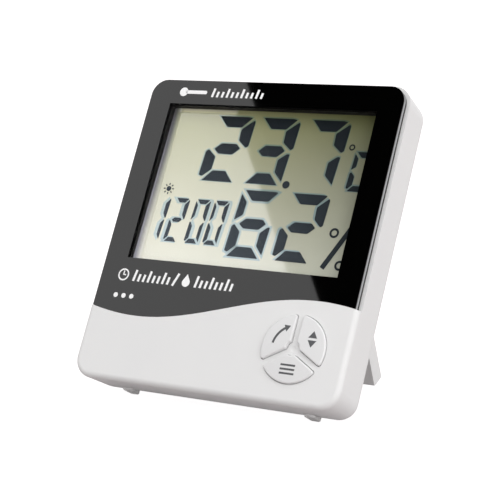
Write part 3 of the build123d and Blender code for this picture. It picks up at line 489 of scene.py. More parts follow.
@dataclass(frozen=True)
class CollarPlastic(MouldedPlastic):
    """Injection-moulded black plastic, with the pale film's reflection painted at the collar's
    foot.

    The eye sees the left wall turn grey in its last millimetre, and more so towards the bottom;
    that grey is a painted reflection of the film, not the plastic's colour.
    """

    case: CaseFrame = field(kw_only=True)
    opening: Opening = field(kw_only=True)
    film_depth: float = field(kw_only=True)
    painted_reflection_low_mm: float = 1.0
    painted_reflection_high_mm: float = 0.0
    fade_mm: float = 0.06
    wall_facing: Pair = (0.8, 0.95)
    # Colour of the painted reflection of the film at the wall's foot
    mirrored: str = "#9E9EA8"

    def surface(self, tree: bpy.types.NodeTree) -> bpy.types.NodeSocket:
        """Mix the painted reflection over the plastic where the wall faces right, near the film.

        Args:
            tree: The material's nodes.

        Returns:
            The output socket of the shader.
        """
        parts = add_node(tree, "ShaderNodeSeparateXYZ", {0: case_place(tree, self.case)})
        start = add_node(
            tree,
            "ShaderNodeMapRange",
            {
                "Value": parts.outputs[2],
                "From Min": self.opening.bottom * MM,
                "From Max": self.opening.top * MM,
                "To Min": (self.film_depth - self.painted_reflection_low_mm) * MM,
                "To Max": (self.film_depth - self.painted_reflection_high_mm) * MM,
            },
        )
        past = add_node(
            tree, "ShaderNodeMath", {0: parts.outputs[1], 1: start.outputs[0]}, operation="SUBTRACT"
        )
        fade = self.fade_mm * MM
        foot = add_node(
            tree,
            "ShaderNodeMapRange",
            {"Value": past.outputs[0], "From Min": -fade, "From Max": fade},
        )
        normal = add_node(tree, "ShaderNodeNewGeometry").outputs["Normal"]
        facing = add_node(tree, "ShaderNodeSeparateXYZ", {0: normal})
        turning, turned = self.wall_facing
        wall = add_node(
            tree,
            "ShaderNodeMapRange",
            {"Value": facing.outputs[0], "From Min": turning, "From Max": turned},
        )
        share = add_node(
            tree, "ShaderNodeMath", {0: foot.outputs[0], 1: wall.outputs[0]}, operation="MULTIPLY"
        )
        # Painted reflection of the film, mixed in at the wall's foot
        pale = add_node(
            tree,
            "ShaderNodeBsdfPrincipled",
            {"Base Color": linear(self.mirrored), "Roughness": self.roughness},
        )
        return add_node(
            tree,
            "ShaderNodeMixShader",
            {0: share.outputs[0], 1: super().surface(tree), 2: pale.outputs[0]},
        ).outputs[0]


@dataclass(frozen=True)
class WindowAcrylic(Finish):
    """Cast clear acrylic, black where the print lies behind it and clear over the display.

    The eye sees deep black with a sharp mirror of the room. The pale line along its straight
    side faces is a painted highlight.
    """

    case: CaseFrame
    opening: Opening
    black: str = "#020202"
    # Colour of the painted highlight along the straight side faces
    edge: str = "#A9AAAC"
    edge_turn: float = 0.5
    painted_highlight_middle_mm: float = 0.9
    painted_highlight_half_mm: float = 0.5
    painted_highlight_facing: float = 0.8
    gloss_roughness: float = 0.03
    polished_share: float = 0.5
    edge_roughness: float = 0.3
    clear_gloss_share: float = 0.08
    ior: float = 1.49
    wipe_mm: float = 26.0

    def surface(self, tree: bpy.types.NodeTree) -> bpy.types.NodeSocket:
        """Choose black, clear or edge by the place in the case and the way the face points.

        Args:
            tree: The material's nodes.

        Returns:
            The output socket of the shader.
        """
        parts = add_node(tree, "ShaderNodeSeparateXYZ", {0: case_place(tree, self.case)})
        across = add_node(tree, "ShaderNodeMath", {0: parts.outputs[0]}, operation="ABSOLUTE")
        middle = (self.opening.bottom + self.opening.top) / 2
        half = (self.opening.top - self.opening.bottom) / 2
        level = add_node(
            tree, "ShaderNodeMath", {0: parts.outputs[2], 1: middle * MM}, operation="SUBTRACT"
        )
        along = add_node(tree, "ShaderNodeMath", {0: level.outputs[0]}, operation="ABSOLUTE")
        within = [
            add_node(
                tree, "ShaderNodeMath", {0: side.outputs[0], 1: limit * MM}, operation="LESS_THAN"
            )
            for side, limit in ((across, self.opening.half_width), (along, half))
        ]
        inside = add_node(
            tree,
            "ShaderNodeMath",
            {0: within[0].outputs[0], 1: within[1].outputs[0]},
            operation="MULTIPLY",
        )
        surface = add_node(tree, "ShaderNodeNewGeometry")
        facing = add_node(
            tree,
            "ShaderNodeVectorMath",
            {0: surface.outputs["Normal"], 1: self.case.back.tolist()},
            operation="DOT_PRODUCT",
        )
        turned = add_node(
            tree, "ShaderNodeMath", {0: facing.outputs["Value"]}, operation="ABSOLUTE"
        )
        on_edge = add_node(
            tree, "ShaderNodeMath", {0: turned.outputs[0], 1: self.edge_turn}, operation="LESS_THAN"
        )
        # Painted highlight: a band across the depth of the side faces that point left or right
        strip = add_node(
            tree,
            "ShaderNodeMath",
            {0: parts.outputs[1], 1: self.painted_highlight_middle_mm * MM, 2: self.painted_highlight_half_mm * MM},
            operation="COMPARE",
        )
        way = add_node(tree, "ShaderNodeSeparateXYZ", {0: surface.outputs["Normal"]})
        sideways = add_node(tree, "ShaderNodeMath", {0: way.outputs[0]}, operation="ABSOLUTE")
        straight = add_node(
            tree,
            "ShaderNodeMapRange",
            {"Value": sideways.outputs[0], "From Min": self.painted_highlight_facing, "From Max": 1.0},
        )
        lit = add_node(
            tree,
            "ShaderNodeMath",
            {0: strip.outputs[0], 1: straight.outputs[0]},
            operation="MULTIPLY",
        )
        where = add_node(tree, "ShaderNodeTexCoord").outputs["Object"]
        wiped = add_node(
            tree,
            "ShaderNodeTexNoise",
            {"Vector": where, "Scale": 1 / (self.wipe_mm * MM), "Detail": 1.0},
        )
        polish = add_node(
            tree,
            "ShaderNodeMapRange",
            {
                "Value": wiped.outputs[0],
                "To Min": self.polished_share * self.gloss_roughness,
                "To Max": self.gloss_roughness,
            },
        )
        black = add_node(
            tree,
            "ShaderNodeBsdfPrincipled",
            {"Base Color": linear(self.black), "Roughness": polish.outputs[0], "IOR": self.ior},
        )
        glow = add_node(
            tree,
            "ShaderNodeMix",
            {0: lit.outputs[0], 6: linear(self.black), 7: linear(self.edge)},
            data_type="RGBA",
        )
        edge = add_node(
            tree,
            "ShaderNodeBsdfPrincipled",
            {"Base Color": glow.outputs[2], "Roughness": self.edge_roughness, "IOR": self.ior},
        )
        mirror = add_node(tree, "ShaderNodeBsdfGlossy", {"Roughness": self.gloss_roughness})
        fresnel = add_node(tree, "ShaderNodeFresnel", {"IOR": self.ior})
        outer = add_node(
            tree,
            "ShaderNodeMapRange",
            {
                "Value": surface.outputs["Backfacing"],
                "To Min": self.clear_gloss_share,
                "To Max": 0.0,
            },
        )
        faint = add_node(
            tree,
            "ShaderNodeMath",
            {0: fresnel.outputs[0], 1: outer.outputs[0]},
            operation="MULTIPLY",
        )
        through = add_node(tree, "ShaderNodeBsdfTransparent")
        clear = add_node(
            tree,
            "ShaderNodeMixShader",
            {0: faint.outputs[0], 1: through.outputs[0], 2: mirror.outputs[0]},
        )
        face = add_node(
            tree,
            "ShaderNodeMixShader",
            {0: inside.outputs[0], 1: black.outputs[0], 2: clear.outputs[0]},
        )
        return add_node(
            tree,
            "ShaderNodeMixShader",
            {0: on_edge.outputs[0], 1: face.outputs[0], 2: edge.outputs[0]},
        ).outputs[0]


@dataclass(frozen=True)
class CornerToned(Finish):
    """A finish whose tone runs between four tones at the corners of the display's opening."""

    case: CaseFrame
    opening: Opening
    # The corner tones hold painted light and shade across the display as well as its colour
    low_left: str
    low_right: str
    high_left: str
    high_right: str
    fall: float = 1.0

    def tone(self, tree: bpy.types.NodeTree) -> bpy.types.NodeSocket:
        """Blend the four corner tones by place in the case.

        Args:
            tree: Node tree to add to.

        Returns:
            The tone: left and right mixed by x, then low and high by the height's share to the
            power of the fall, which lets the high tones reach further down where it is below one.
        """
        parts = add_node(tree, "ShaderNodeSeparateXYZ", {0: case_place(tree, self.case)})
        reach = self.opening.half_width * MM
        side = add_node(
            tree,
            "ShaderNodeMapRange",
            {"Value": parts.outputs[0], "From Min": -reach, "From Max": reach},
        )
        level = add_node(
            tree,
            "ShaderNodeMapRange",
            {
                "Value": parts.outputs[2],
                "From Min": self.opening.bottom * MM,
                "From Max": self.opening.top * MM,
            },
        )
        bent = add_node(
            tree, "ShaderNodeMath", {0: level.outputs[0], 1: self.fall}, operation="POWER"
        )
        low, high = (
            add_node(
                tree,
                "ShaderNodeMix",
                {0: side.outputs[0], 6: linear(left), 7: linear(right)},
                data_type="RGBA",
            )
            for left, right in ((self.low_left, self.low_right), (self.high_left, self.high_right))
        )
        return add_node(
            tree,
            "ShaderNodeMix",
            {0: bent.outputs[0], 6: low.outputs[2], 7: high.outputs[2]},
            data_type="RGBA",
        ).outputs[2]


@dataclass(frozen=True)
class DisplayFilm(CornerToned):
    """Polarising film over a reflective liquid-crystal cell, as laid on the glass.

    The eye sees a grey-green paper tone under a clear sheen. Its fading darker to the top right
    is painted shade in the corner tones.
    Each painted-light band lists places along its span and the gain there, as a share of the
    largest gain: painted shade at the collar's foot, then painted light that lifts the film where
    the collar shades it and darkens its sheen, then the plain tone.
    """

    fall: float = 0.75
    roughness: float = 0.7
    sheen: float = 1.0
    sheen_ior: float = 2.1
    sheen_roughness: float = 0.03
    bow: float = 0.0118
    cloud_mm: float = 9.0
    cloud_share: float = 0.03
    painted_light_span_mm: float = 4.0
    corner_span_mm: float = 1.0
    painted_light_gain: float = 3.0
    sheen_end_x: float = -14.7
    sheen_end_soft: float = 0.8
    # Painted shade and painted light along the film's left and top edges
    left_painted_light_heights: Pair = (53.0, 91.5)
    left_painted_light_low: RimStops = (
        (0.0, (0.165, 0.165, 0.215)),
        (0.45, (0.425, 0.425, 0.48)),
        (0.62, (0.42, 0.42, 0.45)),
        (0.71, (0.333, 0.333, 0.333)),
    )
    left_painted_light_high: RimStops = (
        (0.0, (0.125, 0.12, 0.24)),
        (0.2, (0.125, 0.125, 0.24)),
        (0.62, (0.42, 0.43, 0.56)),
        (0.71, (0.333, 0.333, 0.333)),
    )
    top_painted_light: RimStops = (
        (0.0, (0.45, 0.43, 0.65)),
        (0.12, (0.69, 0.67, 0.97)),
        (0.33, (0.78, 0.76, 1.0)),
        (0.45, (0.333, 0.333, 0.333)),
    )

    def rim(
        self, tree: bpy.types.NodeTree, distance: bpy.types.NodeSocket, stops: RimStops
    ) -> bpy.types.NodeSocket:
        """Gain of the painted light and shade along one edge of the film.

        Args:
            tree: Node tree to add to.
            distance: Metres from that edge.
            stops: Places along the span, and the gain at each as a share of the largest.

        Returns:
            The gain as a colour.
        """
        share = add_node(
            tree, "ShaderNodeMapRange", {"Value": distance, "From Max": self.painted_light_span_mm * MM}
        )
        solid = [(spot, (*gain, 1.0)) for spot, gain in stops]
        ramp = add_node(tree, "ShaderNodeValToRGB", {0: share.outputs[0]}, stops=solid)
        return add_node(
            tree,
            "ShaderNodeVectorMath",
            {0: ramp.outputs[0], "Scale": self.painted_light_gain},
            operation="SCALE",
        ).outputs[0]

    def surface(self, tree: bpy.types.NodeTree) -> bpy.types.NodeSocket:
        """Blend four corner tones, paint light and shade at left and top, and coat with a slight
        bow.

        Args:
            tree: The material's nodes.

        Returns:
            The output socket of the shader.
        """
        parts = add_node(tree, "ShaderNodeSeparateXYZ", {0: case_place(tree, self.case)})
        tone = self.tone(tree)
        where = add_node(tree, "ShaderNodeTexCoord").outputs["Object"]
        cloud = add_node(
            tree,
            "ShaderNodeTexNoise",
            {"Vector": where, "Scale": 1 / (self.cloud_mm * MM), "Detail": 2.0},
        )
        veil = add_node(
            tree,
            "ShaderNodeMapRange",
            {
                "Value": cloud.outputs[0],
                "To Min": 1 - self.cloud_share,
                "To Max": 1 + self.cloud_share,
            },
        )
        paper = add_node(
            tree, "ShaderNodeVectorMath", {0: tone, "Scale": veil.outputs[0]}, operation="SCALE"
        )
        reach, top = self.opening.half_width * MM, self.opening.top * MM
        from_left = add_node(
            tree, "ShaderNodeMath", {0: parts.outputs[0], 1: reach}, operation="ADD"
        )
        from_top = add_node(
            tree, "ShaderNodeMath", {0: top, 1: parts.outputs[2]}, operation="SUBTRACT"
        )
        under_sheen = add_node(
            tree,
            "ShaderNodeMapRange",
            {
                "Value": parts.outputs[0],
                "From Min": (self.sheen_end_x - self.sheen_end_soft) * MM,
                "From Max": (self.sheen_end_x + self.sheen_end_soft) * MM,
                "To Min": 1.0,
                "To Max": 0.0,
            },
        )
        past_corner = add_node(
            tree,
            "ShaderNodeMapRange",
            {
                "Value": from_left.outputs[0],
                "From Min": self.corner_span_mm * MM,
                "From Max": self.painted_light_span_mm * MM,
            },
        )
        top_share = add_node(
            tree,
            "ShaderNodeMath",
            {0: under_sheen.outputs[0], 1: past_corner.outputs[0]},
            operation="MULTIPLY",
        )
        top_painted_light_gain = add_node(
            tree,
            "ShaderNodeMix",
            {
                0: top_share.outputs[0],
                6: (1.0, 1.0, 1.0, 1.0),
                7: self.rim(tree, from_top.outputs[0], self.top_painted_light),
            },
            data_type="RGBA",
        )
        rim_foot, rim_head = self.left_painted_light_heights
        rim_level = add_node(
            tree,
            "ShaderNodeMapRange",
            {"Value": parts.outputs[2], "From Min": rim_foot * MM, "From Max": rim_head * MM},
        )
        left_painted_light_gain = add_node(
            tree,
            "ShaderNodeMix",
            {
                0: rim_level.outputs[0],
                6: self.rim(tree, from_left.outputs[0], self.left_painted_light_low),
                7: self.rim(tree, from_left.outputs[0], self.left_painted_light_high),
            },
            data_type="RGBA",
        )
        # Lay the painted light and shade of the left and top edges on the paper tone
        for gain in (left_painted_light_gain.outputs[2], top_painted_light_gain.outputs[2]):
            paper = add_node(
                tree, "ShaderNodeVectorMath", {0: paper.outputs[0], 1: gain}, operation="MULTIPLY"
            )
        normal = add_node(tree, "ShaderNodeNewGeometry").outputs["Normal"]
        bowed = add_node(
            tree, "ShaderNodeVectorMath", {0: normal, 1: (self.bow, 0, 0)}, operation="ADD"
        )
        straight = add_node(
            tree, "ShaderNodeVectorMath", {0: bowed.outputs[0]}, operation="NORMALIZE"
        )
        return add_node(
            tree,
            "ShaderNodeBsdfPrincipled",
            {
                "Base Color": paper.outputs[0],
                "Roughness": self.roughness,
                "Specular IOR Level": 0.0,
                "Coat Weight": self.sheen,
                "Coat IOR": self.sheen_ior,
                "Coat Roughness": self.sheen_roughness,
                "Coat Normal": straight.outputs[0],
            },
        ).outputs[0]


@dataclass(frozen=True)
class SegmentInk(CornerToned):
    """Lit segments of a liquid-crystal cell: light caught between two crossed films.

    The eye sees slate black that pales and turns bluer towards the display's lower left; this
    is painted light and shade in the corner tones.
    """

    # Corner tones of the segments, with painted light to the lower left and painted shade to the
    # top
    low_left: str = "#5B636B"
    low_right: str = "#2E3337"
    high_left: str = "#1F2428"
    high_right: str = "#1A1E21"
    roughness: float = 0.6

    def surface(self, tree: bpy.types.NodeTree) -> bpy.types.NodeSocket:
        """Lay the blended tone on a matt surface.

        Args:
            tree: The material's nodes.

        Returns:
            The output socket of the shader.
        """
        return add_node(
            tree,
            "ShaderNodeBsdfPrincipled",
            {"Base Color": self.tone(tree), "Roughness": self.roughness, "Specular IOR Level": 0.0},
        ).outputs[0]


@dataclass(frozen=True)
class PrintedInk(Finish):
    """Screen-printed or pad-printed ink: a flat, opaque colour with a faint mesh in it.

    The eye sees crisp edges and a satin face, with a trace of the screen's weave close up.
    A real screen has about 0.12 mm from thread to thread. It is drawn at 0.25 mm to show.
    """

    colour: str
    roughness: float = 0.45
    mesh_mm: float = 0.25
    thinnest: float = 0.94
    ior: float = 1.5

    def surface(self, tree: bpy.types.NodeTree) -> bpy.types.NodeSocket:
        """Vary the ink slightly with the screen's mesh.

        Args:
            tree: The material's nodes.

        Returns:
            The output socket of the shader.
        """
        where = add_node(tree, "ShaderNodeTexCoord").outputs["Object"]
        mesh = add_node(
            tree,
            "ShaderNodeTexVoronoi",
            {"Vector": where, "Scale": 1 / (self.mesh_mm * MM)},
        )
        thin = add_node(
            tree,
            "ShaderNodeMapRange",
            {"Value": mesh.outputs[0], "To Min": 1.0, "To Max": self.thinnest},
        )
        tone = add_node(
            tree,
            "ShaderNodeVectorMath",
            {0: linear(self.colour)[:3], "Scale": thin.outputs[0]},
            operation="SCALE",
        )
        return add_node(
            tree,
            "ShaderNodeBsdfPrincipled",
            {"Base Color": tone.outputs[0], "Roughness": self.roughness, "IOR": self.ior},
        ).outputs[0]


@dataclass(frozen=True)
class DrawnMetal(Finish):
    """Rolled, drawn or plated metal with fine marks along one axis.

    The eye sees a bright highlight that is stretched across the marks. The real marks are a
    few hundredths of a millimetre apart, and are drawn 0.12 mm apart to show.
    """

    colour: str
    roughness: float = 0.3
    mark_mm: float = 0.12
    run_mm: float = 2.5
    mark_lift_mm: float = 0.002
    mark_strength: float = 0.4
    gloss_spread: float = 0.3
    metallic: float = 1.0

    def surface(self, tree: bpy.types.NodeTree) -> bpy.types.NodeSocket:
        """Stretch noise along x, and use it for gloss and for a shallow relief.

        Args:
            tree: The material's nodes.

        Returns:
            The output socket of the shader.
        """
        where = add_node(tree, "ShaderNodeTexCoord").outputs["Object"]
        per_run, per_mark = 1 / (self.run_mm * MM), 1 / (self.mark_mm * MM)
        stretched = add_node(
            tree, "ShaderNodeMapping", {"Vector": where, "Scale": (per_run, per_mark, per_mark)}
        )
        marks = add_node(
            tree,
            "ShaderNodeTexNoise",
            {"Vector": stretched.outputs[0], "Scale": 1.0, "Detail": 3.0},
        )
        gloss = add_node(
            tree,
            "ShaderNodeMapRange",
            {
                "Value": marks.outputs[0],
                "From Min": NOISE_LOW,
                "From Max": NOISE_HIGH,
                "To Min": self.roughness * (1 - self.gloss_spread),
                "To Max": self.roughness * (1 + self.gloss_spread),
            },
        )
        lift = add_node(
            tree,
            "ShaderNodeBump",
            {
                "Height": marks.outputs[0],
                "Strength": self.mark_strength,
                "Distance": self.mark_lift_mm * MM,
            },
        )
        return add_node(
            tree,
            "ShaderNodeBsdfPrincipled",
            {
                "Base Color": linear(self.colour),
                "Metallic": self.metallic,
                "Roughness": gloss.outputs[0],
                "Normal": lift.outputs[0],
            },
        ).outputs[0]


@dataclass(frozen=True)
class Laminate(Finish):
    """Glass-fibre laminate with green solder mask over copper tracks.

    The eye sees dark green board with slightly lighter tracks, and the weave in its gloss.
    The tracks lie about 2.5 mm apart, the glass threads 0.8 mm.
    """

    mask: str = "#1E5A34"
    track: str = "#2F7A48"
    track_pitch_mm: float = 2.5
    track_disorder: float = 0.55
    track_reach: float = 0.12
    weave_mm: float = 0.8
    weave_lift_mm: float = 0.005
    weave_strength: float = 0.3
    roughness: float = 0.32
    ior: float = 1.5

    def surface(self, tree: bpy.types.NodeTree) -> bpy.types.NodeSocket:
        """Draw square-cornered cells for the tracks, and a woven relief under the mask.

        Args:
            tree: The material's nodes.

        Returns:
            The output socket of the shader.
        """
        where = add_node(tree, "ShaderNodeTexCoord").outputs["Object"]
        cells = add_node(
            tree,
            "ShaderNodeTexVoronoi",
            {
                "Vector": where,
                "Scale": 1 / (self.track_pitch_mm * MM),
                "Randomness": self.track_disorder,
            },
            feature="DISTANCE_TO_EDGE",
            distance="EUCLIDEAN",
        )
        line = add_node(
            tree,
            "ShaderNodeMath",
            {0: cells.outputs[0], 1: self.track_reach},
            operation="LESS_THAN",
        )
        tone = add_node(
            tree,
            "ShaderNodeMix",
            {0: line.outputs[0], 6: linear(self.mask), 7: linear(self.track)},
            data_type="RGBA",
        )
        weave = add_node(
            tree, "ShaderNodeTexChecker", {"Vector": where, "Scale": 1 / (self.weave_mm * MM)}
        )
        lift = add_node(
            tree,
            "ShaderNodeBump",
            {
                "Height": weave.outputs[1],
                "Strength": self.weave_strength,
                "Distance": self.weave_lift_mm * MM,
            },
        )
        return add_node(
            tree,
            "ShaderNodeBsdfPrincipled",
            {
                "Base Color": tone.outputs[2],
                "Roughness": self.roughness,
                "IOR": self.ior,
                "Normal": lift.outputs[0],
            },
        ).outputs[0]


@dataclass(frozen=True)
class CellJacket(Finish):
    """Shrunk film on a dry cell: a dark jacket with a plain band at the positive end.

    The eye sees glossy film over a steel can, bare metal at the two ends.
    """

    case: CaseFrame
    jacket: str = "#23272B"
    band: str = "#B98A3A"
    steel: str = "#C9CACB"
    band_start: float = 9.0
    half_film: float = 21.6
    roughness: float = 0.28

    def surface(self, tree: bpy.types.NodeTree) -> bpy.types.NodeSocket:
        """Split the cell by x: steel at the ends, then jacket and band.

        Args:
            tree: The material's nodes.

        Returns:
            The output socket of the shader.
        """
        parts = add_node(tree, "ShaderNodeSeparateXYZ", {0: case_place(tree, self.case)})
        banded = add_node(
            tree,
            "ShaderNodeMath",
            {0: parts.outputs[0], 1: self.band_start * MM},
            operation="GREATER_THAN",
        )
        film = add_node(
            tree,
            "ShaderNodeMix",
            {0: banded.outputs[0], 6: linear(self.jacket), 7: linear(self.band)},
            data_type="RGBA",
        )
        away = add_node(tree, "ShaderNodeMath", {0: parts.outputs[0]}, operation="ABSOLUTE")
        bare = add_node(
            tree,
            "ShaderNodeMath",
            {0: away.outputs[0], 1: self.half_film * MM},
            operation="GREATER_THAN",
        )
        tone = add_node(
            tree,
            "ShaderNodeMix",
            {0: bare.outputs[0], 6: film.outputs[2], 7: linear(self.steel)},
            data_type="RGBA",
        )
        return add_node(
            tree,
            "ShaderNodeBsdfPrincipled",
            {
                "Base Color": tone.outputs[2],
                "Metallic": bare.outputs[0],
                "Roughness": self.roughness,
            },
        ).outputs[0]


# Sub-assemblies


@dataclass
class SubAssembly(ABC):
    """A group of pieces of the clock that is built and dressed together."""

    frame: dict
    case: CaseFrame

    @abstractmethod
    def build(self) -> None:
        """Make the group's own pieces and dress its CAD nodes."""

    def dress(self, finish: Finish, *names: str) -> None:
        """Give CAD nodes a finish.

        Args:
            finish: The finish to use.
            names: Names of the nodes.
        """
        material = finish.material()
        for name in names:
            mesh = self.frame["nodes"][name].data
            mesh.materials.clear()
            mesh.materials.append(material)
        LOG.info("%s on %s", finish.name, ", ".join(names))


@dataclass
class Casework(SubAssembly):
    """White shells, stand, battery door and keys."""

    colour: str = "#E9E9E8"
    shade: str = "#E5E5E5"
    key_colour: str = "#E6E6E6"
    key_shade: str = "#E2E2E2"

    def build(self) -> None:
        """Dress the shells in satin moulded plastic, and the keys in a smoother one."""
        shell = MouldedPlastic("moulded_white_abs", self.colour, self.shade)
        self.dress(shell, "front_case", "rear_case", "stand", "battery_door")
        key = MouldedPlastic(
            "moulded_key_abs", self.key_colour, self.key_shade, roughness=0.42, grain_lift_mm=0.002
        )
        self.dress(key, "mode_key", "adjust_key", "memory_key", "unit_key", "reset_key")


class Segment(Enum):
    """Outlines of the seven segments, in millimetres from the lower left of an upright digit."""

    TOP = ((1.3, 24.1), (13.0, 24.1), (14.4, 23.8), (11.2, 20.1), (5.2, 20.1))
    HIGH_RIGHT = (
        (15.4, 22.9),
        (15.9, 22.3),
        (16.0, 13.3),
        (15.1, 12.7),
        (11.8, 15.2),
        (11.4, 19.4),
    )
    LOW_RIGHT = ((14.4, 11.3), (15.4, 11.2), (15.3, 1.4), (11.9, 4.5), (11.7, 9.1))
    FOOT = ((5.0, 3.85), (10.3, 3.85), (14.1, 0.0), (1.75, 0.1))
    LOW_LEFT = ((1.0, 11.55), (4.25, 9.0), (4.3, 4.2), (1.4, 1.6), (0.1, 2.1), (0.0, 10.8))
    HIGH_LEFT = ((0.2, 22.55), (3.35, 19.5), (3.4, 15.0), (0.15, 13.0))
    MIDDLE = ((5.2, 13.85), (11.4, 13.85), (13.2, 12.3), (10.8, 10.1), (5.0, 10.2), (2.95, 11.8))


class Glyph(Enum):
    """Which segments each character lights."""

    ZERO = ("TOP", "HIGH_RIGHT", "LOW_RIGHT", "FOOT", "LOW_LEFT", "HIGH_LEFT")
    ONE = ("HIGH_RIGHT", "LOW_RIGHT")
    TWO = ("TOP", "HIGH_RIGHT", "MIDDLE", "LOW_LEFT", "FOOT")
    THREE = ("TOP", "HIGH_RIGHT", "MIDDLE", "LOW_RIGHT", "FOOT")
    SIX = ("TOP", "HIGH_LEFT", "MIDDLE", "LOW_LEFT", "LOW_RIGHT", "FOOT")
    SEVEN = ("TOP", "HIGH_RIGHT", "LOW_RIGHT")
    UNIT_C = ("TOP", "HIGH_LEFT", "LOW_LEFT", "FOOT")


# Where the master outlines have the inner and outer edges of their strokes
STROKES_ACROSS = (0.0, 4.2, 11.8, 16.0)
STROKES_UP = (0.0, 3.85, 10.1, 13.85, 20.1, 24.1)


@dataclass(frozen=True)
class Digit:
    """One character of the display."""

    glyph: Glyph
    left: float
    base: float
    width: float
    height: float
    upright: float
    level: float
    painted_shadow_shift: Pair = (-0.2, 0.12)
    painted_shadow_growth: float = 0.4
    corner: float = 0.4
    slant: float = 0.065

    def outlines(self) -> list[np.ndarray]:
        """Fit the master outlines to this digit and lean them.

        Returns:
            Outlines in the case's x and height. Each master coordinate is carried over piece by
            piece in straight lines, so that strokes keep their width: x + slant y, y.
        """
        fitted = []
        middle, half = self.height / 2, self.level / 2
        across = (0, self.upright, self.width - self.upright, self.width)
        up = (0, self.level, middle - half, middle + half, self.height - self.level, self.height)
        for name in self.glyph.value:
            master = np.array(Segment[name].value)
            x = np.interp(master[:, 0], STROKES_ACROSS, across)
            y = np.interp(master[:, 1], STROKES_UP, up)
            leaning = np.column_stack([self.left + x + self.slant * y, self.base + y])
            fitted.append(turned_left(leaning))
        return fitted


TEMPERATURE = dict(base=72.55, width=16.0, height=24.1, upright=4.35, level=3.95)
HUMIDITY = dict(base=46.45, width=15.25, height=23.8, upright=3.7, level=3.7)
CLOCK = dict(base=49.77, width=5.9, height=15.9, upright=1.45, level=1.6, corner=0.2)


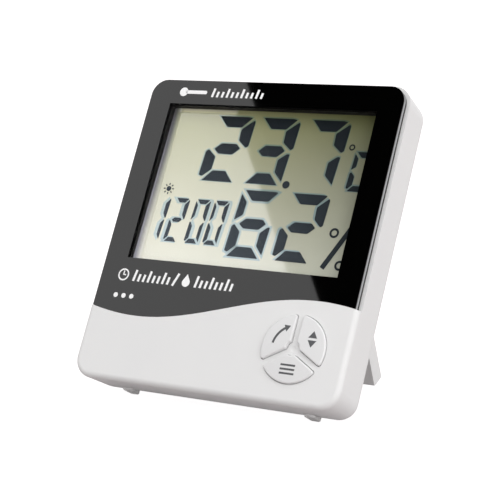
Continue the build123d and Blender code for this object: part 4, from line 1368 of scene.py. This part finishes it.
@dataclass
class Display(SubAssembly):
    """Display glass with its films, its lit segments and the segments' painted shadows behind them.
    """

    opening: Opening = Opening()
    film_depth: float = 4.1
    painted_shadow_lift: float = 0.03
    ink_lift: float = 0.07
    ink_gap: float = 0.01
    edge_gap: float = 0.05
    digits: tuple[Digit, ...] = (
        Digit(Glyph.TWO, -23.8, **TEMPERATURE),
        Digit(Glyph.THREE, -6.35, **TEMPERATURE),
        Digit(Glyph.SEVEN, 12.65, **TEMPERATURE),
        Digit(Glyph.SIX, -6.1, **HUMIDITY, painted_shadow_shift=(0.0, 0.0), painted_shadow_growth=0.7),
        Digit(Glyph.TWO, 12.35, **HUMIDITY, painted_shadow_shift=(-0.65, 0.3), painted_shadow_growth=0.15),
        Digit(Glyph.ONE, -38.6, **CLOCK, painted_shadow_shift=(-0.85, 0.0)),
        Digit(Glyph.TWO, -30.95, **CLOCK, painted_shadow_shift=(-0.8, 0.0)),
        Digit(Glyph.ZERO, -22.6, **CLOCK, painted_shadow_shift=(0.8, 0.0)),
        Digit(Glyph.ZERO, -15.2, **CLOCK, painted_shadow_shift=(0.8, 0.0)),
        Digit(Glyph.UNIT_C, 33.1, 72.15, 8.6, 13.9, 1.95, 2.0),
    )
    # Film tones at low left, low right, high left and high right: darker to the top right as
    # painted shade
    film_tones_and_shade: tuple[str, str, str, str] = ("#F6F5E4", "#CCCEBE", "#AFB080", "#5A5D3A")
    # Tint of the painted segment shadows: share of red, green and blue kept
    painted_shadow_tint: Triple = (0.79, 0.89, 1.0)
    point: Pair = (11.2, 73.0)
    point_radius: float = 1.35
    rings: tuple[tuple[Pair, float, float], ...] = (
        ((32.2, 87.5), 0.6, 1.1),
        ((33.15, 57.6), 0.95, 1.7),
        ((37.65, 46.8), 0.95, 1.7),
    )
    percent_bar: Line = ((31.65, 45.4), (39.35, 60.6))
    percent_width: float = 1.8
    sun: Pair = (-34.0, 68.8)
    sun_radius: float = 0.95
    ray_reach: Pair = (1.35, 2.05)
    ray_width: float = 0.42
    ray_count: int = 8

    def film(self, name: str, tint: Triple = (1, 1, 1)) -> DisplayFilm:
        """Finish of the film, or of painted segment shadows in its tones with a tint over them.

        Args:
            name: Name of the finish.
            tint: Share of red, green and blue that is kept.

        Returns:
            The finish, with its tones for low left, low right, high left and high right.
        """
        tones = [
            "#"
            + "".join(
                f"{round(int(tone[i : i + 2], 16) * share):02X}"
                for i, share in zip((1, 3, 5), tint)
            )
            for tone in self.film_tones_and_shade
        ]
        return DisplayFilm(name, self.case, self.opening, *tones)

    def marks(self) -> list[np.ndarray]:
        """Outlines of the decimal point, the bar of the percent sign and the small sun.

        Returns:
            One outline for each mark and each ray of the sun.
        """
        near, far = (disc(self.sun, reach, self.ray_count) for reach in self.ray_reach)
        return [
            disc(self.point, self.point_radius),
            bar(*self.percent_bar, self.percent_width),
            disc(self.sun, self.sun_radius),
            *[bar(start, end, self.ray_width) for start, end in zip(near, far)],
        ]

    def within(self, outline: np.ndarray) -> np.ndarray:
        """Keep an outline inside the opening of the frame."""
        limit = self.opening.half_width - self.edge_gap
        return np.column_stack([np.clip(outline[:, 0], -limit, limit), outline[:, 1]])

    def build(self) -> None:
        """Dress the glass's layers, then lay painted segment shadows and lit segments on the film.
        """
        self.dress(self.film("polarising_film"), "front_polariser")
        self.dress(DrawnMetal("brushed_reflector_foil", "#C6C8C4", 0.35), "lcd_reflector")
        glass = MouldedPlastic(
            "cut_display_glass", "#AEBDB2", "#A4B4A8", 0.08, grain_lift_mm=0.0005, ior=1.52
        )
        self.dress(glass, "lcd_front_glass", "lcd_rear_glass")
        self.dress(
            CollarPlastic(
                "moulded_black_abs",
                "#0B0B0B",
                "#101010",
                0.6,
                ior=1.25,
                case=self.case,
                opening=self.opening,
                film_depth=self.film_depth,
            ),
            "lcd_frame",
        )
        rubber = MouldedPlastic("cured_grey_rubber", "#55585A", "#4B4E50", 0.7)
        self.dress(rubber, "elastomer_strip")

        face = self.film_depth - self.ink_gap
        ink_front, ink_rear = face - self.ink_lift, face - self.painted_shadow_lift
        lit, pale = [], []
        for digit in self.digits:
            for outline in digit.outlines():
                lit.append(slab(self.within(rounded(outline, digit.corner)), ink_front, ink_rear))
                # Painted shadow of the segment: its outline grown and shifted, in a bluish tint of
                # the film
                spread = grown(outline, digit.painted_shadow_growth) + np.array(digit.painted_shadow_shift)
                pale.append(slab(self.within(rounded(spread, digit.corner)), ink_rear, face))
        for centre, inner, outer in self.rings:
            lit.append(hoop(centre, inner, outer, ink_front, ink_rear))
        for outline in self.marks():
            lit.append(slab(self.within(outline), ink_front, ink_rear))
        ink = SegmentInk("crossed_film_ink", self.case, self.opening)
        make_piece("lit_segments", self.case, lit, ink.material(), "case")
        painted_shadow = self.film("film_fringe", self.painted_shadow_tint)
        make_piece("segment_fringes", self.case, pale, painted_shadow.material(), "case")


@dataclass
class Window(SubAssembly):
    """Clear window with its black print and the white pictograms on its face."""

    opening: Opening = Opening()
    mark_lift: float = 0.04
    mark_sink: float = 0.01
    scale_pitch: float = 1.95
    scale_lean: float = 0.16
    stroke: float = 0.85
    upper_scale: Ruler = (-23.8, 101.8, 11, 3.3, 2.1)
    left_scale: Ruler = (-35.4, 33.4, 8, 4.0, 2.6)
    right_scale: Ruler = (-10.8, 33.4, 8, 4.0, 2.6)
    slash: Line = ((-19.6, 33.2), (-17.9, 37.6))
    bulb: Pair = (-35.7, 103.45)
    bulb_radius: float = 1.65
    stem: Line = ((-34.9, 103.45), (-26.2, 103.45))
    stem_width: float = 1.3
    stem_round: float = 0.6
    dial: Pair = (-39.8, 35.35)
    dial_radii: Pair = (1.65, 2.15)
    long_hand: Line = ((-39.8, 35.3), (-39.8, 36.75))
    short_hand: Line = ((-39.9, 35.35), (-38.85, 35.35))
    hand_width: float = 0.45
    drop: Pair = (-14.6, 34.8)
    drop_radius: float = 1.5
    drop_height: float = 2.9
    drop_turns: tuple[float, float, int] = (150, 390, 30)
    dots: tuple[Pair, ...] = ((-40.8, 28.0), (-37.6, 28.0), (-34.4, 28.0))
    dot_radius: float = 0.85

    def scale(
        self, start: float, base: float, count: int, tall: float, low: float
    ) -> list[np.ndarray]:
        """Leaning strokes of a measuring scale, with every third one taller.

        Args:
            start: x of the first stroke.
            base: Height of the strokes' feet.
            count: Number of strokes.
            tall: Height of the tall strokes.
            low: Height of the others.

        Returns:
            One outline for each stroke.
        """
        strokes = []
        for number in range(count):
            x = start + number * self.scale_pitch
            rise = tall if number % 3 == 0 else low
            strokes.append(bar((x, base), (x + self.scale_lean * rise, base + rise), self.stroke))
        return strokes

    def marks(self) -> list[Chunk]:
        """Thermometer and scale above the display, clock, scales, drop and dots below it.

        Returns:
            Points and faces of each mark, as thin prisms on the window's face.
        """
        tip = (self.drop[0], self.drop[1] + self.drop_height)
        outlines = [
            disc(self.bulb, self.bulb_radius),
            rounded(bar(*self.stem, self.stem_width), self.stem_round),
            *self.scale(*self.upper_scale),
            bar(*self.long_hand, self.hand_width),
            bar(*self.short_hand, self.hand_width),
            *self.scale(*self.left_scale),
            bar(*self.slash, self.stroke),
            np.vstack([arc(self.drop, self.drop_radius, *self.drop_turns), tip]),
            *self.scale(*self.right_scale),
            *[disc(place, self.dot_radius) for place in self.dots],
        ]
        faces = [slab(outline, -self.mark_lift, self.mark_sink) for outline in outlines]
        return faces + [hoop(self.dial, *self.dial_radii, -self.mark_lift, self.mark_sink)]

    def build(self) -> None:
        """Dress window, print and tape, and print the pictograms."""
        self.dress(WindowAcrylic("cast_clear_acrylic", self.case, self.opening), "display_window")
        self.dress(PrintedInk("black_window_print", "#060606"), "window_print")
        foam = MouldedPlastic("black_foam_tape", "#121212", "#1C1C1C", 0.9, 0.3, 0.05)
        self.dress(foam, "window_tape")
        white = PrintedInk("white_window_print", "#FFFFFF").material()
        make_piece("window_marks", self.case, self.marks(), white, "case")


@dataclass
class KeyMarks(SubAssembly):
    """Dark symbols printed on the three domed front keys."""

    centre: Pair = (31.0, 16.9)
    crown: float = 1.35
    edge: float = 0.8
    ring_radius: float = 11.3
    lift: float = 0.04
    sink: float = 0.03
    shaft_radii: Pair = (6.95, 7.75)
    shaft_turns: Pair = (122, 172)
    shaft_steps: int = 20
    tip_radius: float = 7.35
    tip_turn: float = 119
    tip_length: float = 1.5
    tip_back: float = 0.5
    tip_half_width: float = 1.25
    ways_place: Pair = (6.3, 3.6)
    ways_half_width: float = 1.5
    ways_heights: Pair = (0.4, 2.7)
    lines_drop: float = 6.9
    lines_half_width: float = 2.6
    lines_pitch: float = 1.35
    lines_width: float = 0.62

    def printed(self, outline: np.ndarray) -> Chunk:
        """Lay an outline on the shared dome of the keys.

        Args:
            outline: Corners as rows.

        Returns:
            A thin prism. The dome's depth is R - crown - sqrt(R^2 - r^2), with r from the hub.
        """
        edge = turned_left(outline)
        fall = self.crown - self.edge
        ball = (self.ring_radius**2 + fall**2) / (2 * fall)
        away = np.linalg.norm(edge - np.array(self.centre), axis=1)
        depth = ball - self.crown - np.sqrt(ball**2 - away**2)
        return slab(edge, depth - self.lift, depth + self.sink)

    def curved_arrow(self) -> list[np.ndarray]:
        """Arrow that runs round the hub on the left key.

        Returns:
            Outlines of its shaft and its head.
        """
        (inner, outer), turns, steps = self.shaft_radii, self.shaft_turns, self.shaft_steps
        shaft = np.vstack(
            [arc(self.centre, outer, *turns, steps), arc(self.centre, inner, *turns[::-1], steps)]
        )
        angle = math.radians(self.tip_turn)
        tip = np.array(self.centre) + self.tip_radius * np.array([math.cos(angle), math.sin(angle)])
        along = np.array([math.sin(angle), -math.cos(angle)])
        side = np.array([-along[1], along[0]]) * self.tip_half_width
        rear = tip - self.tip_back * along
        return [shaft, np.array([tip + self.tip_length * along, rear + side, rear - side])]

    def two_ways(self) -> list[np.ndarray]:
        """Triangles up and down on the right key.

        Returns:
            Their two outlines.
        """
        middle = np.array(self.centre) + self.ways_place
        half, (foot, tip) = self.ways_half_width, self.ways_heights
        upper = np.array([(-half, foot), (half, foot), (0.0, tip)])
        return [middle + upper, middle - upper]

    def stored_lines(self) -> list[np.ndarray]:
        """Three bars, like entries kept in a list, on the bottom key.

        Returns:
            Their three outlines.
        """
        x, h, half = self.centre[0], self.centre[1] - self.lines_drop, self.lines_half_width
        levels = [h + step * self.lines_pitch for step in (-1, 0, 1)]
        return [bar((x - half, level), (x + half, level), self.lines_width) for level in levels]

    def build(self) -> None:
        """Print each symbol on its own key."""
        grey = PrintedInk("grey_key_print", "#5A5B5D").material()
        symbols = {
            "mode": self.curved_arrow(),
            "adjust": self.two_ways(),
            "memory": self.stored_lines(),
        }
        for name, outlines in symbols.items():
            chunks = [self.printed(outline) for outline in outlines]
            make_piece(f"{name}_symbol", self.case, chunks, grey, f"{name}_key")


@dataclass
class Electronics(SubAssembly):
    """Main board, switches, sensors, sounder and their leads."""

    def build(self) -> None:
        """Dress every piece inside the case."""
        self.dress(Laminate("green_masked_laminate"), "circuit_board", "sensor_board")
        resin = MouldedPlastic(
            "dripped_black_resin", "#0C0C0D", "#131314", 0.22, grain_lift_mm=0.001
        )
        self.dress(resin, "chip_cap")
        self.dress(DrawnMetal("drawn_nickel_can", "#CFCBC2", 0.22), "crystal")
        parts = MouldedPlastic("fired_ceramic_parts", "#B79A6C", "#A88B5F", 0.45)
        self.dress(parts, "board_components")
        switches = [f"{name}_switch" for name in ("mode", "adjust", "memory", "unit", "reset")]
        plungers = [name.replace("_switch", "_plunger") for name in switches]
        self.dress(MouldedPlastic("moulded_switch_nylon", "#1A1A1B", "#222224", 0.5), *switches)
        self.dress(MouldedPlastic("moulded_plunger_nylon", "#C9C4B6", "#BFBAAC", 0.42), *plungers)
        self.dress(
            MouldedPlastic("moulded_sensor_shell", "#2C6FA8", "#2A689E", 0.35), "humidity_sensor"
        )
        self.dress(MouldedPlastic("fused_bead_glass", "#15110F", "#241B16", 0.12), "thermistor")
        self.dress(DrawnMetal("rolled_brass_disc", "#C9A24B", 0.28), "buzzer_disc")
        ceramic = MouldedPlastic("fired_white_ceramic", "#DAD7CE", "#D0CDC4", 0.4)
        self.dress(ceramic, "buzzer_ceramic")
        self.dress(DrawnMetal("zinc_plated_steel", "#B9BEC4", 0.3), "board_screws", "case_screws")
        red = MouldedPlastic("extruded_red_pvc", "#B01D1B", "#A31A19", 0.35, 0.5, 0.002)
        black = MouldedPlastic("extruded_black_pvc", "#161616", "#1E1E1E", 0.35, 0.5, 0.002)
        self.dress(red, "positive_lead", "sensor_lead_outer", "buzzer_lead_outer")
        self.dress(black, "negative_lead", "sensor_lead_inner", "buzzer_lead_inner")


@dataclass
class Battery(SubAssembly):
    """Dry cell with its spring and contacts."""

    def build(self) -> None:
        """Dress the cell and the plated steel that touches it."""
        self.dress(CellJacket("shrunk_cell_jacket", self.case), "battery_cell")
        self.dress(
            DrawnMetal("nickel_plated_spring_steel", "#C4C3BE", 0.25),
            "battery_spring",
            "negative_contact",
            "positive_contact",
        )


# Studio


@dataclass(frozen=True)
class Viewpoint:
    """Camera of the photograph, in metres and degrees."""

    position: Triple = (0.26957, -0.44881, 0.14834)
    azimuth: float = -30.994
    elevation: float = -10.707
    roll: float = -1.138
    lens: float = 114.816

    def axes(self) -> tuple[np.ndarray, np.ndarray, np.ndarray]:
        """Right, up and forward directions of the camera.

        Returns:
            Three unit vectors: forward from azimuth and elevation, the others turned by the roll.
        """
        a, e, r = (math.radians(v) for v in (self.azimuth, self.elevation, self.roll))
        forward = np.array([math.cos(e) * math.sin(a), math.cos(e) * math.cos(a), math.sin(e)])
        level = np.cross(forward, (0.0, 0.0, 1.0))
        level /= np.linalg.norm(level)
        above = np.cross(level, forward)
        right = level * math.cos(r) + above * math.sin(r)
        return right, above * math.cos(r) - level * math.sin(r), forward

    def build(self) -> None:
        """Make the camera and set it as the scene's own."""
        camera = bpy.data.objects.new("camera", bpy.data.cameras.new("camera"))
        camera.data.lens = self.lens
        camera.data.clip_start = 0.01
        camera.data.clip_end = 100.0
        right, up, forward = self.axes()
        turn = np.eye(4)
        turn[:3, 0], turn[:3, 1], turn[:3, 2], turn[:3, 3] = right, up, -forward, self.position
        camera.matrix_world = Matrix(turn.tolist())
        bpy.context.scene.collection.objects.link(camera)
        bpy.context.scene.camera = camera


@dataclass(frozen=True)
class Softbox:
    """Rectangular studio lamp aimed at the clock."""

    name: str
    position: Triple
    size: Pair
    power: float
    colour: str = "#FFFFFF"

    def build(self, target: Vector) -> None:
        """Place the lamp and turn it towards the target.

        Args:
            target: The point that it faces.
        """
        data = bpy.data.lights.new(self.name, "AREA")
        data.shape = "RECTANGLE"
        data.size, data.size_y = self.size
        data.energy = self.power
        data.color = linear(self.colour)[:3]
        lamp = bpy.data.objects.new(self.name, data)
        bpy.context.scene.collection.objects.link(lamp)
        spot = Vector(self.position)
        turn = (target - spot).to_track_quat("-Z", "Y").to_matrix().to_4x4()
        lamp.matrix_world = Matrix.Translation(spot) @ turn


@dataclass
class Studio:
    """Floor, backdrop light, softboxes, and what the window mirrors."""

    case: CaseFrame
    view: Viewpoint = field(default_factory=Viewpoint)
    target: Triple = (0.0, 0.0, 0.05)
    floor_half: float = 15.0
    floor_colour: str = "#9F9798"
    floor_glow: float = 0.93
    floor_gloss: float = 0.9
    ambient: float = 0.80
    window_middle: float = 70.0
    card_distance: float = 1.5
    card_glow: float = 1.76
    card_edge: Line = (
        (-11.61, WINDOW_TOP),
        (35.74, 33.38),
    )
    card_overrun: float = 0.6
    card_width: float = 170.0
    flag_half: float = 260.0
    flag_heights: Pair = (-160.0, 300.0)
    flag_distance_share: float = 1.1
    lamps: tuple[Softbox, ...] = (
        Softbox("right_softbox", (1.35, -0.6, 0.6), (1.4, 1.4), 12.0),
        Softbox("top_softbox", (0.0, -0.25, 1.35), (0.8, 0.6), 2.6),
    )

    def seen(self, tree: bpy.types.NodeTree, gloss: float = 1.0) -> bpy.types.NodeSocket:
        """One for camera and transmission rays, nought for the rays that light things.

        Args:
            tree: Node tree to add to.
            gloss: Value for glossy rays.

        Returns:
            The socket that carries the value.
        """
        path = add_node(tree, "ShaderNodeLightPath")
        mirrored = add_node(
            tree,
            "ShaderNodeMath",
            {0: path.outputs["Is Glossy Ray"], 1: gloss},
            operation="MULTIPLY",
        )
        first = add_node(
            tree,
            "ShaderNodeMath",
            {0: path.outputs["Is Camera Ray"], 1: mirrored.outputs[0]},
            operation="MAXIMUM",
        )
        return add_node(
            tree,
            "ShaderNodeMath",
            {0: first.outputs[0], 1: path.outputs["Is Transmission Ray"]},
            operation="MAXIMUM",
        ).outputs[0]

    def build_world(self) -> None:
        """White to the eye and in gloss, a dimmer even light for the object."""
        world = bpy.data.worlds.new("studio")
        world.use_nodes = True
        tree = world.node_tree
        tree.nodes.clear()
        lit = add_node(
            tree, "ShaderNodeBackground", {"Color": linear("#FFFFFF"), "Strength": self.ambient}
        )
        white = add_node(tree, "ShaderNodeBackground", {"Color": (1, 1, 1, 1), "Strength": 1.0})
        mixed = add_node(
            tree,
            "ShaderNodeMixShader",
            {0: self.seen(tree), 1: lit.outputs[0], 2: white.outputs[0]},
        )
        add_node(tree, "ShaderNodeOutputWorld", {"Surface": mixed.outputs[0]})
        bpy.context.scene.world = world

    def build_floor(self) -> None:
        """Plain pale floor that keeps the shadow and shows white to the eye."""
        half = self.floor_half
        mesh = bpy.data.meshes.new("floor")
        corners = [(-half, -half, 0.0), (half, -half, 0.0), (half, half, 0.0), (-half, half, 0.0)]
        mesh.from_pydata(corners, [], [(0, 1, 2, 3)])
        material = bpy.data.materials.new("pale_paper_floor")
        material.use_nodes = True
        tree = material.node_tree
        tree.nodes.clear()
        paper = add_node(tree, "ShaderNodeBsdfDiffuse", {"Color": linear(self.floor_colour)})
        strength = add_node(
            tree,
            "ShaderNodeMath",
            {0: self.seen(tree, self.floor_gloss), 1: self.floor_glow},
            operation="MULTIPLY",
        )
        glow = add_node(
            tree, "ShaderNodeEmission", {"Color": (1, 1, 1, 1), "Strength": strength.outputs[0]}
        )
        both = add_node(tree, "ShaderNodeAddShader", {0: paper.outputs[0], 1: glow.outputs[0]})
        add_node(tree, "ShaderNodeOutputMaterial", {"Surface": both.outputs[0]})
        mesh.materials.append(material)
        floor = bpy.data.objects.new("floor", mesh)
        bpy.context.scene.collection.objects.link(floor)

    def mirrored(self, places: np.ndarray, distance: float) -> np.ndarray:
        """Where the camera's rays go after the window's face mirrors them.

        Args:
            places: Rows of x and height on the window in millimetres.
            distance: How far the catching plane is from the window, in metres.

        Returns:
            Points where d - 2 (d.n) n meets the plane square to the middle ray.
        """
        eye = np.array(self.view.position)
        flat = np.vstack([[0.0, 0.0, self.window_middle], np.insert(places, 1, 0.0, axis=1)])
        points = self.case.place(flat)
        rays = points - eye
        rays -= 2 * (rays @ self.case.back)[:, None] * self.case.back
        rays /= np.linalg.norm(rays, axis=1)[:, None]
        reach = ((points[0] + distance * rays[0] - points) @ rays[0]) / (rays @ rays[0])
        return (points + rays * reach[:, None])[1:]

    def build_card(self, name: str, places: np.ndarray, distance: float, glow: float) -> None:
        """Card that only gloss can see.

        Args:
            name: Name of the card.
            places: Rows of x and height on the window where its corners show.
            distance: How far it is from the window, in metres.
            glow: Its brightness, with 1 for white.
        """
        mesh = bpy.data.meshes.new(name)
        mesh.from_pydata(self.mirrored(places, distance).tolist(), [], [(0, 1, 2, 3)])
        material = bpy.data.materials.new(name)
        material.use_nodes = True
        tree = material.node_tree
        tree.nodes.clear()
        light = add_node(tree, "ShaderNodeEmission", {"Color": (1, 1, 1, 1), "Strength": glow})
        add_node(tree, "ShaderNodeOutputMaterial", {"Surface": light.outputs[0]})
        mesh.materials.append(material)
        card = bpy.data.objects.new(name, mesh)
        bpy.context.scene.collection.objects.link(card)
        card.visible_camera = False
        card.visible_diffuse = False
        card.visible_transmission = False
        card.visible_volume_scatter = False
        card.visible_shadow = False

    def build(self) -> None:
        """Make the floor, the light, the mirrored cards and the camera."""
        self.build_world()
        self.build_floor()
        for lamp in self.lamps:
            lamp.build(Vector(self.target))
        top, foot = (np.array(end) for end in self.card_edge)
        overrun = self.card_overrun * (foot - top)
        edge = np.array([top - overrun, foot + overrun])
        bright = np.vstack([edge, edge[::-1] - (self.card_width, 0.0)])
        self.build_card("bright_card", bright, self.card_distance, self.card_glow)
        half, (low, high) = self.flag_half, self.flag_heights
        dark = np.array([(-half, low), (half, low), (half, high), (-half, high)])
        self.build_card("dark_flag", dark, self.card_distance * self.flag_distance_share, 0.0)
        self.view.build()
        LOG.info("studio: floor, %d softboxes, card, flag and camera", len(self.lamps))


def main() -> None:
    """Build the clock's looks in order, group by group, and its studio."""
    logging.basicConfig(level=logging.INFO, format="%(name)s: %(message)s")
    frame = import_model()
    case = CaseFrame.from_frame(frame)
    for group in (Casework, Window, Display, KeyMarks, Electronics, Battery):
        LOG.info("group %s", group.__name__)
        group(frame, case).build()
    Studio(case).build()
    bpy.context.scene.view_settings.view_transform = "Standard"


if __name__ == "__main__":
    main()
